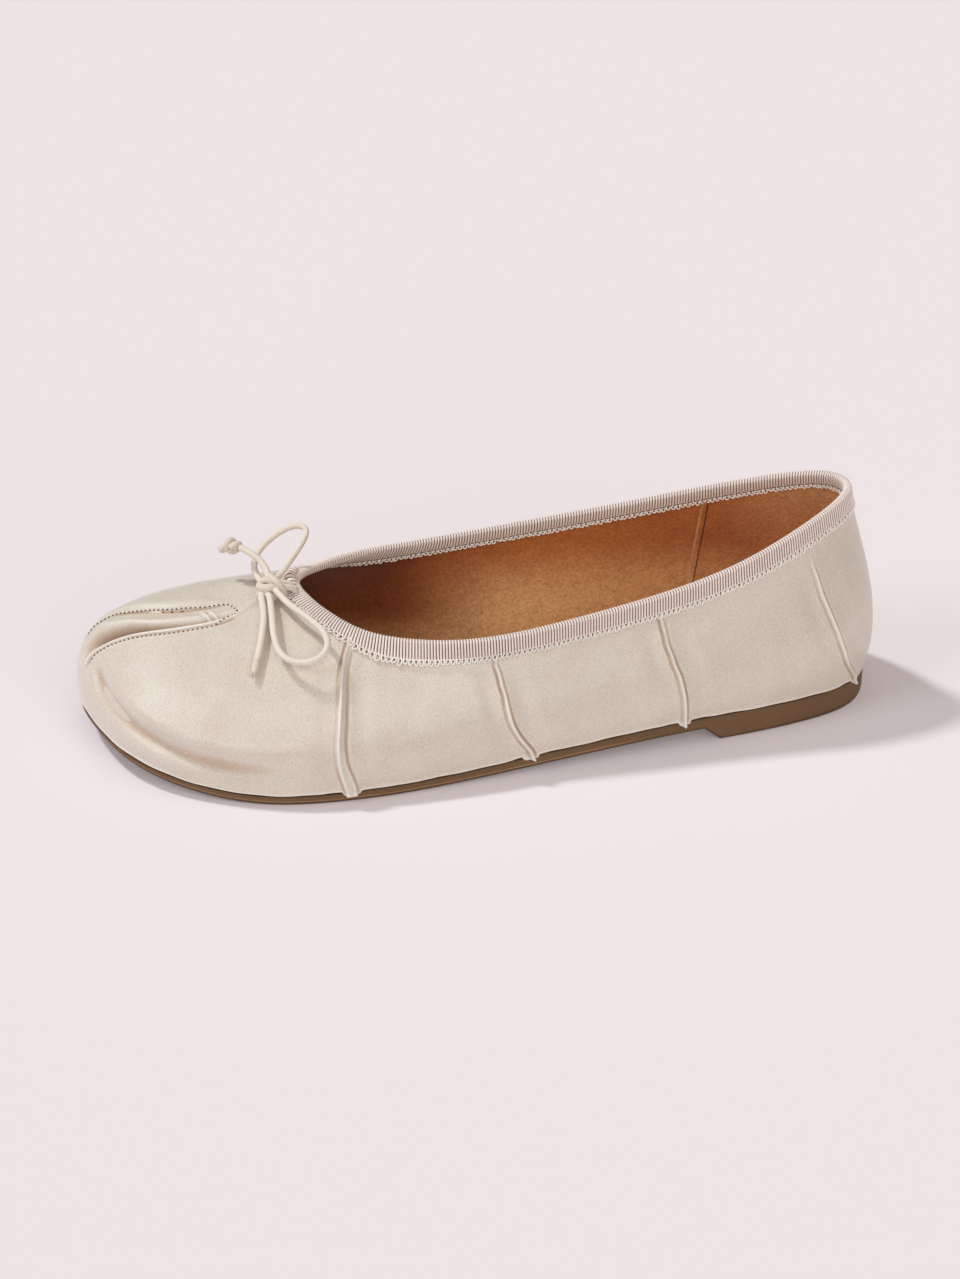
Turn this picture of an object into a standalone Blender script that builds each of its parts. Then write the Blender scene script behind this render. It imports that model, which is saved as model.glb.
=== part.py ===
"""Split-toe flat for the left foot.

A moulded outsole with a low heel, a hollow upper with a folded cleft between the great toe and the
other toes, a stepped insole, a ribbon binding over the collar and a bow of thin round cord.

All named sizes are in millimetres. "s" is the distance from the back of the heel along the shoe, and
"x" is the distance from its middle line, positive on the lateral side. The toe points along -Y.
"""
import math

import bpy
import numpy as np

MM = 0.001

# Driving sizes
LENGTH = 245.0
WALL = 1.6
GAP = 0.3
MIDDLE_X = 1.6
MIDDLE_S = 121.8

# Sole, from the side
HEEL_FRONT = 55.3
BREAST_RUN = 5.7
HEEL_STEP = 4.6
ARCH_START = 50.0
TREAD_REAR = 163.0
TREAD_FRONT = 192.0
TOE_SPRING = 7.2
HEEL_EDGE_RADIUS = 2.4
SOLE_EDGE_RADIUS = 1.3
ARC_MIDDLE = 1.0 - math.sqrt(0.5)
SOLE_THICKNESS = (
    # s, thickness
    (0.0, 4.0),
    (60.0, 4.0),
    (110.0, 3.8),
    (150.0, 3.3),
    (180.0, 3.0),
    (220.0, 2.7),
    (245.0, 2.2),
)

# Lasting margin and insole
MARGIN_WIDTH = 6.0
INSOLE_SIDE_GAP = 0.6
INSOLE_FLANGE = 1.7
INSOLE_EDGE = 0.9

# Sections of the last, once round from the back of the heel by the lateral side.
# foot: where the upper meets the sole; collar: the top edge.
# bulge and rise: how far out and up the wall leaves the sole.
# back and drop: how far towards the sole edge and down the wall leaves the collar.
SECTIONS = (
    # name, foot x, foot s, collar x, collar s, collar z, bulge, rise, back, drop
    ("heel_back", 0.0, 0.0, 0.0, 7.0, 67.0, 7.0, 21.0, 2.0, 15.0),
    ("heel_corner", 19.2, 6.4, 10.7, 13.2, 65.9, 6.4, 20.5, 3.0, 15.5),
    ("heel_side", 29.2, 27.4, 20.5, 33.8, 59.4, 4.6, 18.1, 1.7, 13.8),
    ("breast", 34.0, 59.0, 25.0, 61.0, 50.5, 3.9, 16.0, 0.4, 12.0),
    ("waist", 38.0, 98.7, 28.3, 100.4, 43.6, 3.8, 15.8, -0.3, 12.0),
    ("joint_rear", 42.2, 139.4, 28.4, 137.4, 40.6, 3.8, 17.7, 2.5, 10.1),
    ("joint", 44.6, 172.4, 21.5, 161.8, 42.4, 3.3, 19.5, 7.4, 6.2),
    ("little_toe", 41.7, 198.6, 12.5, 171.8, 44.7, 2.8, 19.6, 19.6, 4.1),
    ("fourth_toe", 32.0, 219.7, 5.0, 176.5, 46.2, 3.0, 20.0, 27.9, 4.0),
    ("third_toe", 17.8, 234.6, -0.1, 178.5, 46.9, 3.8, 22.6, 36.5, 3.6),
    ("toe_tip", -4.6, 243.3, -5.1, 179.6, 47.3, 5.5, 26.6, 44.4, 2.8),
    ("great_toe", -22.6, 243.4, -9.5, 179.2, 47.9, 6.8, 28.0, 47.5, 2.8),
    ("great_side", -35.0, 229.3, -14.3, 175.9, 47.7, 5.8, 26.0, 36.6, 4.6),
    ("great_joint", -40.3, 205.6, -19.5, 169.2, 46.9, 4.6, 23.5, 23.4, 7.0),
    ("ball", -40.7, 185.2, -25.0, 158.4, 46.5, 3.4, 21.0, 8.3, 8.0),
    ("ball_rear", -33.5, 159.9, -29.4, 138.6, 45.7, 3.6, 19.5, 2.4, 11.0),
    ("arch_front", -25.4, 129.8, -30.2, 110.8, 47.6, 4.6, 18.0, 0.0, 12.0),
    ("arch", -24.2, 99.7, -29.0, 86.4, 50.5, 5.0, 18.0, 0.0, 12.0),
    ("arch_rear", -28.0, 65.5, -26.6, 60.6, 54.5, 4.6, 18.0, 0.2, 12.0),
    ("heel_inside", -29.2, 27.4, -20.5, 33.8, 60.5, 4.6, 18.1, 1.7, 13.8),
    ("heel_inner", -19.2, 6.4, -10.7, 13.2, 65.9, 6.4, 20.5, 3.0, 15.5),
)

# Cleft between the great toe and the others, up the upper from just above the sole
CLEFT = (
    # v, u of the lateral lip, width of the medial flank, depth
    (0.20, 0.5112, 9.0, 0.0),
    (0.28, 0.5104, 10.8, 3.0),
    (0.36, 0.5068, 12.4, 4.6),
    (0.45, 0.5022, 13.0, 5.2),
    (0.52, 0.4974, 12.4, 5.4),
    (0.60, 0.4896, 11.5, 5.0),
    (0.67, 0.4823, 10.0, 4.2),
    (0.75, 0.4745, 7.8, 2.6),
    (0.81, 0.4726, 5.0, 0.0),
)
CLEFT_WALL = 2.4

# Columns of the mesh follow the cleft: its place in u at the sole, and how far round it reaches
CLEFT_PLACE = 0.505
CLEFT_LEAN_WIDTH = 0.06
COLLAR_STRAIGHT = 0.2

# Mesh
FINE_STEP = 1e-3
FINE_COUNT = 4001
SHARP_ANGLE = 40.0
UPPER_COLUMNS = 100
UPPER_ROWS = 12
HEEL_DENSITY = 0.7
HEEL_DENSITY_WIDTH = 0.07
CLEFT_DENSITY = 4.5
CLEFT_DENSITY_WIDTH = 0.03

# Binding, as a channel over the collar edge: distance below the edge, height over the outer face
BINDING_THICKNESS = 0.6
BINDING_GAP = 0.45
BINDING_OUTSIDE = 6.5
BINDING_INSIDE = 4.6
BINDING_RISE = 1.0

# Sole and insole stations along the length, and how far the others keep from the heel breast
STATIONS = 40
BREAST_CLEAR = 2.0

# Bow
CORD_DIAMETER = 2.0
CORD_STEP = 2.4
CURVE_PARTS = 24
KNOT_CENTRE = (-1.5, 189.5, 49.5)
KNOT_RADII = (3.6, 3.0, 2.9)
TIP_NEAR = (24.4, 199.5, 36.9)
TIP_NEAR_RADIUS = 1.4
TIP_FAR = (-16.0, 197.6, 57.5)
TIP_FAR_RADIUS = 2.1
BOW_ROUTES = {
    "bow_loop_near": (
        (2.4, 187.8, 50.2),
        (9.5, 185.5, 49.3),
        (14.0, 182.9, 48.6),
        (18.5, 180.2, 47.5),
        (23.0, 178.0, 46.2),
        (26.7, 177.7, 44.3),
        (29.3, 179.6, 42.3),
        (30.2, 184.0, 40.8),
        (28.2, 189.0, 40.6),
        (24.0, 191.8, 41.9),
        (17.5, 192.1, 44.4),
        (10.5, 191.1, 46.9),
        (2.9, 190.2, 49.0),
    ),
    "bow_loop_far": (
        (-5.2, 187.5, 50.1),
        (-7.6, 184.9, 50.6),
        (-10.5, 181.0, 53.6),
        (-14.5, 176.6, 56.9),
        (-18.0, 174.2, 59.3),
        (-20.3, 175.8, 60.2),
        (-21.0, 180.6, 58.9),
        (-19.0, 186.6, 56.1),
        (-16.5, 189.9, 53.9),
        (-13.6, 191.6, 51.9),
        (-9.8, 191.5, 50.0),
        (-5.6, 190.5, 49.3),
    ),
    "bow_end_near": (
        (1.4, 192.6, 48.7),
        (5.4, 192.8, 47.6),
        (9.9, 193.5, 45.8),
        (14.6, 195.0, 43.6),
        (19.0, 196.7, 41.0),
        (23.0, 198.7, 38.0),
    ),
    "bow_end_far": (
        (-4.3, 189.0, 52.2),
        (-6.3, 189.1, 53.3),
        (-9.5, 190.5, 55.3),
        (-12.0, 193.3, 57.0),
        (-14.4, 195.7, 57.7),
    ),
    "bow_neck_near": (
        (-1.3, 182.2, 49.3),
        (-1.0, 184.2, 49.7),
        (-0.8, 186.3, 50.0),
    ),
    "bow_neck_far": (
        (-3.8, 182.4, 49.5),
        (-3.6, 184.4, 49.9),
        (-3.3, 186.4, 50.2),
    ),
}


def hermite(t, step, start, start_slope, end, end_slope):
    """Cubic from one value to the next with given slopes, t from 0 to 1."""
    from_start = start * (1 + 2 * t) * (1 - t) ** 2 + start_slope * step * t * (1 - t) ** 2
    to_end = end * t * t * (3 - 2 * t) + end_slope * step * t * t * (t - 1)
    return from_start + to_end


def closed_spline(knots, values):
    """Smooth closed curve with period 1 through values at knots; returns a function of u."""
    count = len(knots)
    steps = np.diff(np.append(knots, knots[0] + 1.0))
    system = np.zeros((count, count))
    right = np.zeros(values.shape)
    for i in range(count):
        before = steps[i - 1]
        after = steps[i]
        following = (i + 1) % count
        system[i, i - 1] += after
        system[i, i] += 2.0 * (before + after)
        system[i, following] += before
        slope_before = (values[i] - values[i - 1]) / before
        slope_after = (values[following] - values[i]) / after
        right[i] = 3.0 * (after * slope_before + before * slope_after)
    slopes = np.linalg.solve(system, right)

    def at(u):
        place = np.mod(np.asarray(u, float), 1.0)
        i = np.clip(np.searchsorted(knots, place, side="right") - 1, 0, count - 1)
        following = (i + 1) % count
        t = ((place - knots[i]) / steps[i])[..., None]
        return hermite(t, steps[i][..., None], values[i], slopes[i], values[following], slopes[following])

    return at


def smooth_table(table, wanted):
    """Columns of a table read smoothly at places in its first column, and held beyond its ends."""
    knots = np.array(table)[:, 0]
    values = np.array(table)[:, 1:]
    slopes = np.gradient(values, knots, axis=0)
    wanted = np.asarray(wanted, float)
    i = np.clip(np.searchsorted(knots, wanted, side="right") - 1, 0, len(knots) - 2)
    step = (knots[i + 1] - knots[i])[..., None]
    t = np.clip((wanted - knots[i])[..., None] / step, 0.0, 1.0)
    return hermite(t, step, values[i], slopes[i], values[i + 1], slopes[i + 1])


def section_curve():
    """The table of sections as one closed curve, with u by distance round the foot outline."""
    table = np.array([row[1:] for row in SECTIONS], float)
    foot = table[:, :2]
    lengths = np.hypot(*(np.roll(foot, -1, axis=0) - foot).T)
    knots = np.concatenate(([0.0], np.cumsum(lengths)))
    return closed_spline(knots[:-1] / knots[-1], table)


SECTION_AT = section_curve()


def smooth_step(t):
    """Ease from 0 to 1."""
    t = np.clip(t, 0.0, 1.0)
    return t * t * (3.0 - 2.0 * t)


def place(x, s, z):
    """Millimetres in the shoe's own terms to metres in the world, as one array."""
    return np.stack([x - MIDDLE_X, MIDDLE_S - s, z], axis=-1) * MM


def sole_thickness(s):
    """Thickness of the sole plate."""
    table = np.array(SOLE_THICKNESS)
    return np.interp(s, table[:, 0], table[:, 1])


def plate_bottom(s):
    """Underside of the sole plate without its heel: arch, flat tread and toe spring."""
    arch = HEEL_STEP * smooth_step((TREAD_REAR - s) / (TREAD_REAR - ARCH_START))
    spring = TOE_SPRING * np.clip((s - TREAD_FRONT) / (LENGTH - TREAD_FRONT), 0.0, None) ** 2
    return arch + spring


def sole_top(s):
    """Top of the sole plate."""
    return plate_bottom(s) + sole_thickness(s)


def sole_bottom(s):
    """Underside with the heel: flat to the heel front, then up the sloping breast to the plate."""
    breast = np.clip((s - HEEL_FRONT - GAP) / (BREAST_RUN - GAP), 0.0, 1.0)
    return plate_bottom(s) * breast


def edge_radius(s):
    """Radius of the lower edge, larger round the back of the heel."""
    return SOLE_EDGE_RADIUS + (HEEL_EDGE_RADIUS - SOLE_EDGE_RADIUS) * smooth_step(1.0 - s / HEEL_FRONT)


def foot_outline(u, inset=0.0):
    """Plan of the line where upper and sole meet, moved inwards by inset."""
    here = SECTION_AT(u)[..., :2]
    along = (SECTION_AT(np.asarray(u) + FINE_STEP) - SECTION_AT(np.asarray(u) - FINE_STEP))[..., :2]
    along /= np.linalg.norm(along, axis=-1, keepdims=True)
    inward = np.stack([-along[..., 1], along[..., 0]], axis=-1)
    return here + inward * inset


def base_skin(u, v):
    """Outer face of the upper before the cleft, v from 0 at the sole to 1 at the collar."""
    u, v = np.broadcast_arrays(np.asarray(u, float), np.asarray(v, float))
    row = SECTION_AT(u)
    foot_x, foot_s, collar_x, collar_s, collar_z, bulge, rise, back, drop = np.moveaxis(row, -1, 0)
    out = foot_outline(u, -1.0) - row[..., :2]
    reach_x = foot_x - collar_x
    reach_s = foot_s - collar_s
    reach = np.hypot(reach_x, reach_s)
    foot_z = sole_top(foot_s) + GAP
    handles = (
        (foot_x, foot_s, foot_z),
        (foot_x + out[..., 0] * bulge, foot_s + out[..., 1] * bulge, foot_z + rise),
        (collar_x + reach_x / reach * back, collar_s + reach_s / reach * back, collar_z - drop),
        (collar_x, collar_s, collar_z),
    )
    weights = ((1 - v) ** 3, 3 * v * (1 - v) ** 2, 3 * v * v * (1 - v), v ** 3)
    return sum(weight[..., None] * np.stack(handle, axis=-1) for weight, handle in zip(weights, handles))


def skin_normal(u, v):
    """Outward unit normal of the base skin, in x, s and z."""
    across = base_skin(u + FINE_STEP, v) - base_skin(u - FINE_STEP, v)
    up = base_skin(u, v + FINE_STEP) - base_skin(u, v - FINE_STEP)
    normal = np.cross(across, up)
    return normal / np.linalg.norm(normal, axis=-1, keepdims=True)


def cleft_depth(u, v):
    """How far the fold goes in: steeply at its lateral wall, then out along its medial flank."""
    lip, flank, depth = np.moveaxis(smooth_table(CLEFT, v), -1, 0)
    across = base_skin(lip + FINE_STEP, v) - base_skin(lip - FINE_STEP, v)
    distance = (u - lip) * np.linalg.norm(across, axis=-1) / (2 * FINE_STEP)
    lateral_wall = smooth_step(distance / CLEFT_WALL)
    medial_flank = (1.0 - np.clip((distance - CLEFT_WALL) / (flank - CLEFT_WALL), 0.0, 1.0)) ** 2
    return np.maximum(depth, 0.0) * np.where(distance < CLEFT_WALL, lateral_wall, medial_flank)


def skin(u, v, offset=0.0):
    """Outer face of the upper with its cleft, moved out along the normal by offset."""
    u, v = np.broadcast_arrays(np.asarray(u, float), np.asarray(v, float))
    return base_skin(u, v) + skin_normal(u, v) * (offset - cleft_depth(u, v))[..., None]


def spaced_columns(count, density):
    """Values of u once round, closer together where density is higher."""
    fine = np.linspace(0.0, 1.0, FINE_COUNT)
    total = np.concatenate(([0.0], np.cumsum(density(fine[:-1] + 0.5 * fine[1]))))
    return np.interp(np.arange(count) / count, total / total[-1], fine)


def upper_density(u):
    """Columns of the upper gather at the heel and at the cleft."""
    from_heel = np.minimum(u, 1.0 - u)
    heel = HEEL_DENSITY * np.exp(-((from_heel / HEEL_DENSITY_WIDTH) ** 2))
    cleft = CLEFT_DENSITY * np.exp(-(((u - CLEFT_PLACE) / CLEFT_DENSITY_WIDTH) ** 2))
    return 1.0 + heel + cleft


def lean_with_cleft(u, v):
    """Shift columns so that they run along the cleft, and back again before the collar."""
    near = np.exp(-(((u - CLEFT_PLACE) / CLEFT_LEAN_WIDTH) ** 2))
    shift = smooth_table(CLEFT, v)[..., 0] - CLEFT_PLACE
    return u + shift * near * smooth_step((1.0 - v) / COLLAR_STRAIGHT)


def clear_scene():
    """Remove every object of the open scene."""
    for item in list(bpy.data.objects):
        bpy.data.objects.remove(item, do_unlink=True)


def make_material(name, colour, roughness):
    """A plain Principled material."""
    material = bpy.data.materials.new(name)
    material.use_nodes = True
    shader = material.node_tree.nodes["Principled BSDF"]
    shader.inputs["Base Color"].default_value = (*colour, 1.0)
    shader.inputs["Roughness"].default_value = roughness
    shader.inputs["Metallic"].default_value = 0.0
    return material


def add_mesh(name, points, faces, material, collection):
    """Mesh object from points in metres, shaded smooth with its sharp edges kept."""
    mesh = bpy.data.meshes.new(name)
    mesh.from_pydata([tuple(point) for point in points], [], faces)
    mesh.validate()
    mesh.shade_smooth()
    mesh.set_sharp_from_angle(angle=math.radians(SHARP_ANGLE))
    mesh.materials.append(material)
    item = bpy.data.objects.new(name, mesh)
    collection.objects.link(item)
    return item


def grid_faces(rows, columns, close_rows=False):
    """Quads of a grid whose columns close on themselves, and whose rows may too."""
    faces = []
    row_count = rows if close_rows else rows - 1
    for row in range(row_count):
        upper_row = (row + 1) % rows
        for column in range(columns):
            following = (column + 1) % columns
            faces.append((
                row * columns + column,
                upper_row * columns + column,
                upper_row * columns + following,
                row * columns + following,
            ))
    return faces


def make_upper(material, collection):
    """The hollow shell: an open skin from the turned-in margin to the collar, given its wall."""
    u = spaced_columns(UPPER_COLUMNS, upper_density)
    rows = []
    for inset in (MARGIN_WIDTH, MARGIN_WIDTH / 2):
        plan = foot_outline(u, inset)
        rows.append(place(plan[:, 0], plan[:, 1], sole_top(plan[:, 1]) + GAP))
    for v in np.linspace(0.0, 1.0, UPPER_ROWS + 1):
        point = skin(lean_with_cleft(u, v), v)
        rows.append(place(*point.T))
    upper = add_mesh("upper", np.concatenate(rows), grid_faces(len(rows), len(u)), material, collection)
    wall = upper.modifiers.new("wall", "SOLIDIFY")
    wall.thickness = WALL * MM
    wall.offset = -1.0
    wall.use_even_offset = True
    wall.use_rim = True
    return upper


def make_binding(material, collection):
    """The ribbon as a channel that wraps the collar edge, clear of the upper all round."""
    u = spaced_columns(UPPER_COLUMNS, upper_density)
    outer = BINDING_GAP + BINDING_THICKNESS
    inner = -WALL - BINDING_GAP
    # distance below the edge, height over the outer face
    profile = (
        (BINDING_OUTSIDE, BINDING_GAP),
        (BINDING_OUTSIDE, outer),
        (BINDING_OUTSIDE / 2, outer),
        (0.2 * BINDING_RISE, outer),
        (-0.7 * BINDING_RISE, outer - 0.8 * BINDING_THICKNESS),
        (-BINDING_RISE, -WALL / 2),
        (-0.7 * BINDING_RISE, inner - 0.2 * BINDING_THICKNESS),
        (0.2 * BINDING_RISE, inner - BINDING_THICKNESS),
        (BINDING_INSIDE, inner - BINDING_THICKNESS),
        (BINDING_INSIDE, inner),
        (-GAP, inner),
        (-GAP, BINDING_GAP),
        (BINDING_OUTSIDE / 2, BINDING_GAP),
    )
    edge = skin(u, 1.0)
    rise = (edge - skin(u, 1.0 - FINE_STEP)) / FINE_STEP
    speed = np.linalg.norm(rise, axis=-1)
    rise /= speed[:, None]
    rows = []
    for below, height in profile:
        v = 1.0 - max(below, 0.0) / speed
        point = skin(u, v, height) + rise * max(-below, 0.0)
        rows.append(place(*point.T))
    faces = grid_faces(len(rows), len(u), close_rows=True)
    return add_mesh("binding", np.concatenate(rows), faces, material, collection)


def stations():
    """Stations along the shoe, close at its ends, with one at each end of the heel breast."""
    turn = np.linspace(0.0, math.pi, STATIONS)
    s = LENGTH_AT_TIP * (1.0 - np.cos(turn)) / 2.0
    breast = np.array([HEEL_FRONT, HEEL_FRONT + BREAST_RUN + GAP])
    clear = (s < breast[0] - BREAST_CLEAR) | (s > breast[1] + BREAST_CLEAR)
    return np.sort(np.concatenate((s[clear], breast)))


def outline_halves():
    """Values of u once round, the s that each one reaches, and which of them is the toe tip."""
    fine = np.linspace(0.0, 1.0, FINE_COUNT)
    s = SECTION_AT(fine)[:, 1]
    tip = int(np.argmax(s))
    return fine, s, tip


OUTLINE_U, OUTLINE_S, OUTLINE_TIP = outline_halves()
LENGTH_AT_TIP = float(OUTLINE_S[OUTLINE_TIP])


def layered_solid(name, levels, material, collection):
    """A solid of closed rings one over another, capped by strips across at both ends.

    Each level is an inset from the foot outline and a function of s that gives its height.
    """
    s = stations()
    u_lateral = np.interp(s, OUTLINE_S[:OUTLINE_TIP + 1], OUTLINE_U[:OUTLINE_TIP + 1])
    u_medial = np.interp(-s, -OUTLINE_S[OUTLINE_TIP:], OUTLINE_U[OUTLINE_TIP:])
    ring = np.concatenate((u_lateral, u_medial[-2:0:-1]))
    count = len(ring)
    points = []
    for inset, height in levels:
        plan = foot_outline(ring, inset)
        points.append(place(plan[:, 0], plan[:, 1], height(plan[:, 1])))
    faces = grid_faces(len(levels), count)
    last = (len(levels) - 1) * count
    for i in range(len(s) - 1):
        lateral = (i, i + 1)
        medial = ((count - i) % count, count - i - 1)
        strip = tuple(dict.fromkeys((lateral[0], lateral[1], medial[1], medial[0])))
        faces.append(strip)
        faces.append(tuple(last + k for k in reversed(strip)))
    return add_mesh(name, np.concatenate(points), faces, material, collection)


def make_outsole(material, collection):
    """Outsole and heel in one moulding, with a rounded lower edge."""
    levels = (
        (SOLE_EDGE_RADIUS, sole_bottom),
        (SOLE_EDGE_RADIUS * ARC_MIDDLE, lambda s: sole_bottom(s) + edge_radius(s) * ARC_MIDDLE),
        (0.0, lambda s: sole_bottom(s) + edge_radius(s)),
        (0.0, sole_top),
    )
    return layered_solid("outsole", levels, material, collection)


def make_insole(material, collection):
    """Insole with a flange over the lasting margin and a thicker middle down to the outsole."""
    core = WALL + MARGIN_WIDTH + INSOLE_SIDE_GAP
    flange = WALL + INSOLE_SIDE_GAP
    under_flange = GAP + WALL + GAP
    levels = (
        (core, lambda s: sole_top(s) + GAP),
        (core, lambda s: sole_top(s) + under_flange),
        (flange, lambda s: sole_top(s) + under_flange),
        (flange, lambda s: sole_top(s) + under_flange + INSOLE_FLANGE - INSOLE_EDGE / 2),
        (flange + INSOLE_EDGE, lambda s: sole_top(s) + under_flange + INSOLE_FLANGE),
    )
    return layered_solid("insole", levels, material, collection)


def smooth_route(points, spacing):
    """Points at an even spacing on a smooth open curve through hand-placed points."""
    points = np.array(points, float)
    before = 2 * points[0] - points[1]
    after = 2 * points[-1] - points[-2]
    padded = np.vstack([before, points, after])
    fine = []
    for p0, p1, p2, p3 in zip(padded, padded[1:], padded[2:], padded[3:]):
        for t in np.linspace(0.0, 1.0, CURVE_PARTS, endpoint=False):
            fine.append(0.5 * (2 * p1 + (p2 - p0) * t + (2 * p0 - 5 * p1 + 4 * p2 - p3) * t * t
                               + (3 * p1 - p0 - 3 * p2 + p3) * t ** 3))
    fine.append(points[-1])
    fine = np.array(fine)
    length = np.concatenate(([0.0], np.cumsum(np.linalg.norm(np.diff(fine, axis=0), axis=1))))
    count = max(3, int(round(length[-1] / spacing)) + 1)
    wanted = np.linspace(0.0, length[-1], count)
    return np.stack([np.interp(wanted, length, fine[:, axis]) for axis in range(3)], axis=-1)


def make_cord(name, route, material, collection):
    """One stretch of the bow's round cord."""
    curve = bpy.data.curves.new(name, "CURVE")
    curve.dimensions = "3D"
    curve.bevel_depth = CORD_DIAMETER / 2 * MM
    curve.bevel_resolution = 2
    curve.render_resolution_u = 0
    curve.use_fill_caps = True
    points = smooth_route(route, CORD_STEP)
    spline = curve.splines.new("POLY")
    spline.points.add(len(points) - 1)
    for target, point in zip(spline.points, place(*points.T)):
        target.co = (*point, 1.0)
    curve.materials.append(material)
    item = bpy.data.objects.new(name, curve)
    collection.objects.link(item)
    return item


def make_knot(name, centre, radii, material, collection):
    """A small rounded knot."""
    bpy.ops.mesh.primitive_uv_sphere_add(segments=12, ring_count=8, radius=1.0)
    knot = bpy.context.object
    knot.name = name
    knot.data.name = name
    knot.location = place(*centre)
    for vertex in knot.data.vertices:
        vertex.co = [value * radius * MM for value, radius in zip(vertex.co, radii)]
    knot.data.shade_smooth()
    knot.data.materials.append(material)
    for other in list(knot.users_collection):
        other.objects.unlink(knot)
    collection.objects.link(knot)
    return knot


def main():
    """Build the shoe."""
    clear_scene()
    collection = bpy.data.collections.new("split_toe_flat")
    bpy.context.scene.collection.children.link(collection)
    satin = make_material("satin", (0.71, 0.60, 0.49), 0.38)
    ribbon = make_material("ribbon", (0.62, 0.47, 0.41), 0.65)
    rubber = make_material("rubber", (0.15, 0.10, 0.06), 0.55)
    suede = make_material("suede", (0.40, 0.19, 0.07), 0.80)
    cord = make_material("cord", (0.76, 0.67, 0.55), 0.55)

    make_outsole(rubber, collection)
    make_upper(satin, collection)
    make_insole(suede, collection)
    make_binding(ribbon, collection)
    for name, route in BOW_ROUTES.items():
        make_cord(name, route, cord, collection)
    make_knot("bow_knot", KNOT_CENTRE, KNOT_RADII, cord, collection)
    make_knot("bow_tip_near", TIP_NEAR, (TIP_NEAR_RADIUS,) * 3, cord, collection)
    make_knot("bow_tip_far", TIP_FAR, (TIP_FAR_RADIUS,) * 3, cord, collection)


main()
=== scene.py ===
"""Looks of the split-toe flat, a left shoe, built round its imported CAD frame.

Satin upper with its cleft and pleats, suede lining and insole, ribbed ribbon binding, moulded sole
and a bow of round cord. Named sizes are in millimetres unless a comment says otherwise. "s" is the
distance from the back of the heel along the shoe and "x" the distance from its middle line, positive
on the lateral side. "u" goes once round the shoe from the back of the heel by the lateral side, and
"v" goes from 0 at the sole to 1 at the collar.
"""
import math

import bpy
import numpy as np
from mathutils import Matrix, Vector


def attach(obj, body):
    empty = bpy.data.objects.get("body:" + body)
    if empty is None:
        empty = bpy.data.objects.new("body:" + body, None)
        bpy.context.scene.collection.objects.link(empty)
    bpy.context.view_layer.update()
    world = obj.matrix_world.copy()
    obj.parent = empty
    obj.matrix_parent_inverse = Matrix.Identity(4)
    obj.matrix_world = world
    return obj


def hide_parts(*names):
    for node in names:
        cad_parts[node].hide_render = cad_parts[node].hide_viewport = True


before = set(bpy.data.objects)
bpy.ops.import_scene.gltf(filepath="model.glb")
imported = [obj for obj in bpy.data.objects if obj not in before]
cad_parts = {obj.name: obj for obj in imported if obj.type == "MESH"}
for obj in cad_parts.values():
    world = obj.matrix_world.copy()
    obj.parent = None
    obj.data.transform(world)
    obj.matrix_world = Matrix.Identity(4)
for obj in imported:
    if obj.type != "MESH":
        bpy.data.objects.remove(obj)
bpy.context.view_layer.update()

MM = 0.001

# Camera: where it looks, how it is turned, and how far off it stands
CAMERA_TARGET = (-1.945, -1.868, 25.037)
CAMERA_TURN = 74.479
CAMERA_RISE = 28.5
CAMERA_ROLL = 1.4346
CAMERA_DISTANCE = 1150.0
CAMERA_LENS = 105.39
CAMERA_SENSOR = 36.0

# Driving sizes, the same as the CAD part's: outline, wall, gap between pieces, origin, heel and sole
LENGTH = 245.0
WALL = 1.6
GAP = 0.3
MIDDLE_X = 1.6
MIDDLE_S = 121.8
HEEL_FRONT = 55.3
BREAST_RUN = 5.7
HEEL_STEP = 4.6
ARCH_START = 50.0
TREAD_REAR = 163.0
TREAD_FRONT = 192.0
TOE_SPRING = 7.2
HEEL_EDGE_RADIUS = 2.4
SOLE_EDGE_RADIUS = 1.3

SOLE_THICKNESS = (
    # s, thickness
    (0.0, 4.0),
    (60.0, 4.0),
    (110.0, 3.8),
    (150.0, 3.3),
    (180.0, 3.0),
    (220.0, 2.7),
    (245.0, 2.2),
)

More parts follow.
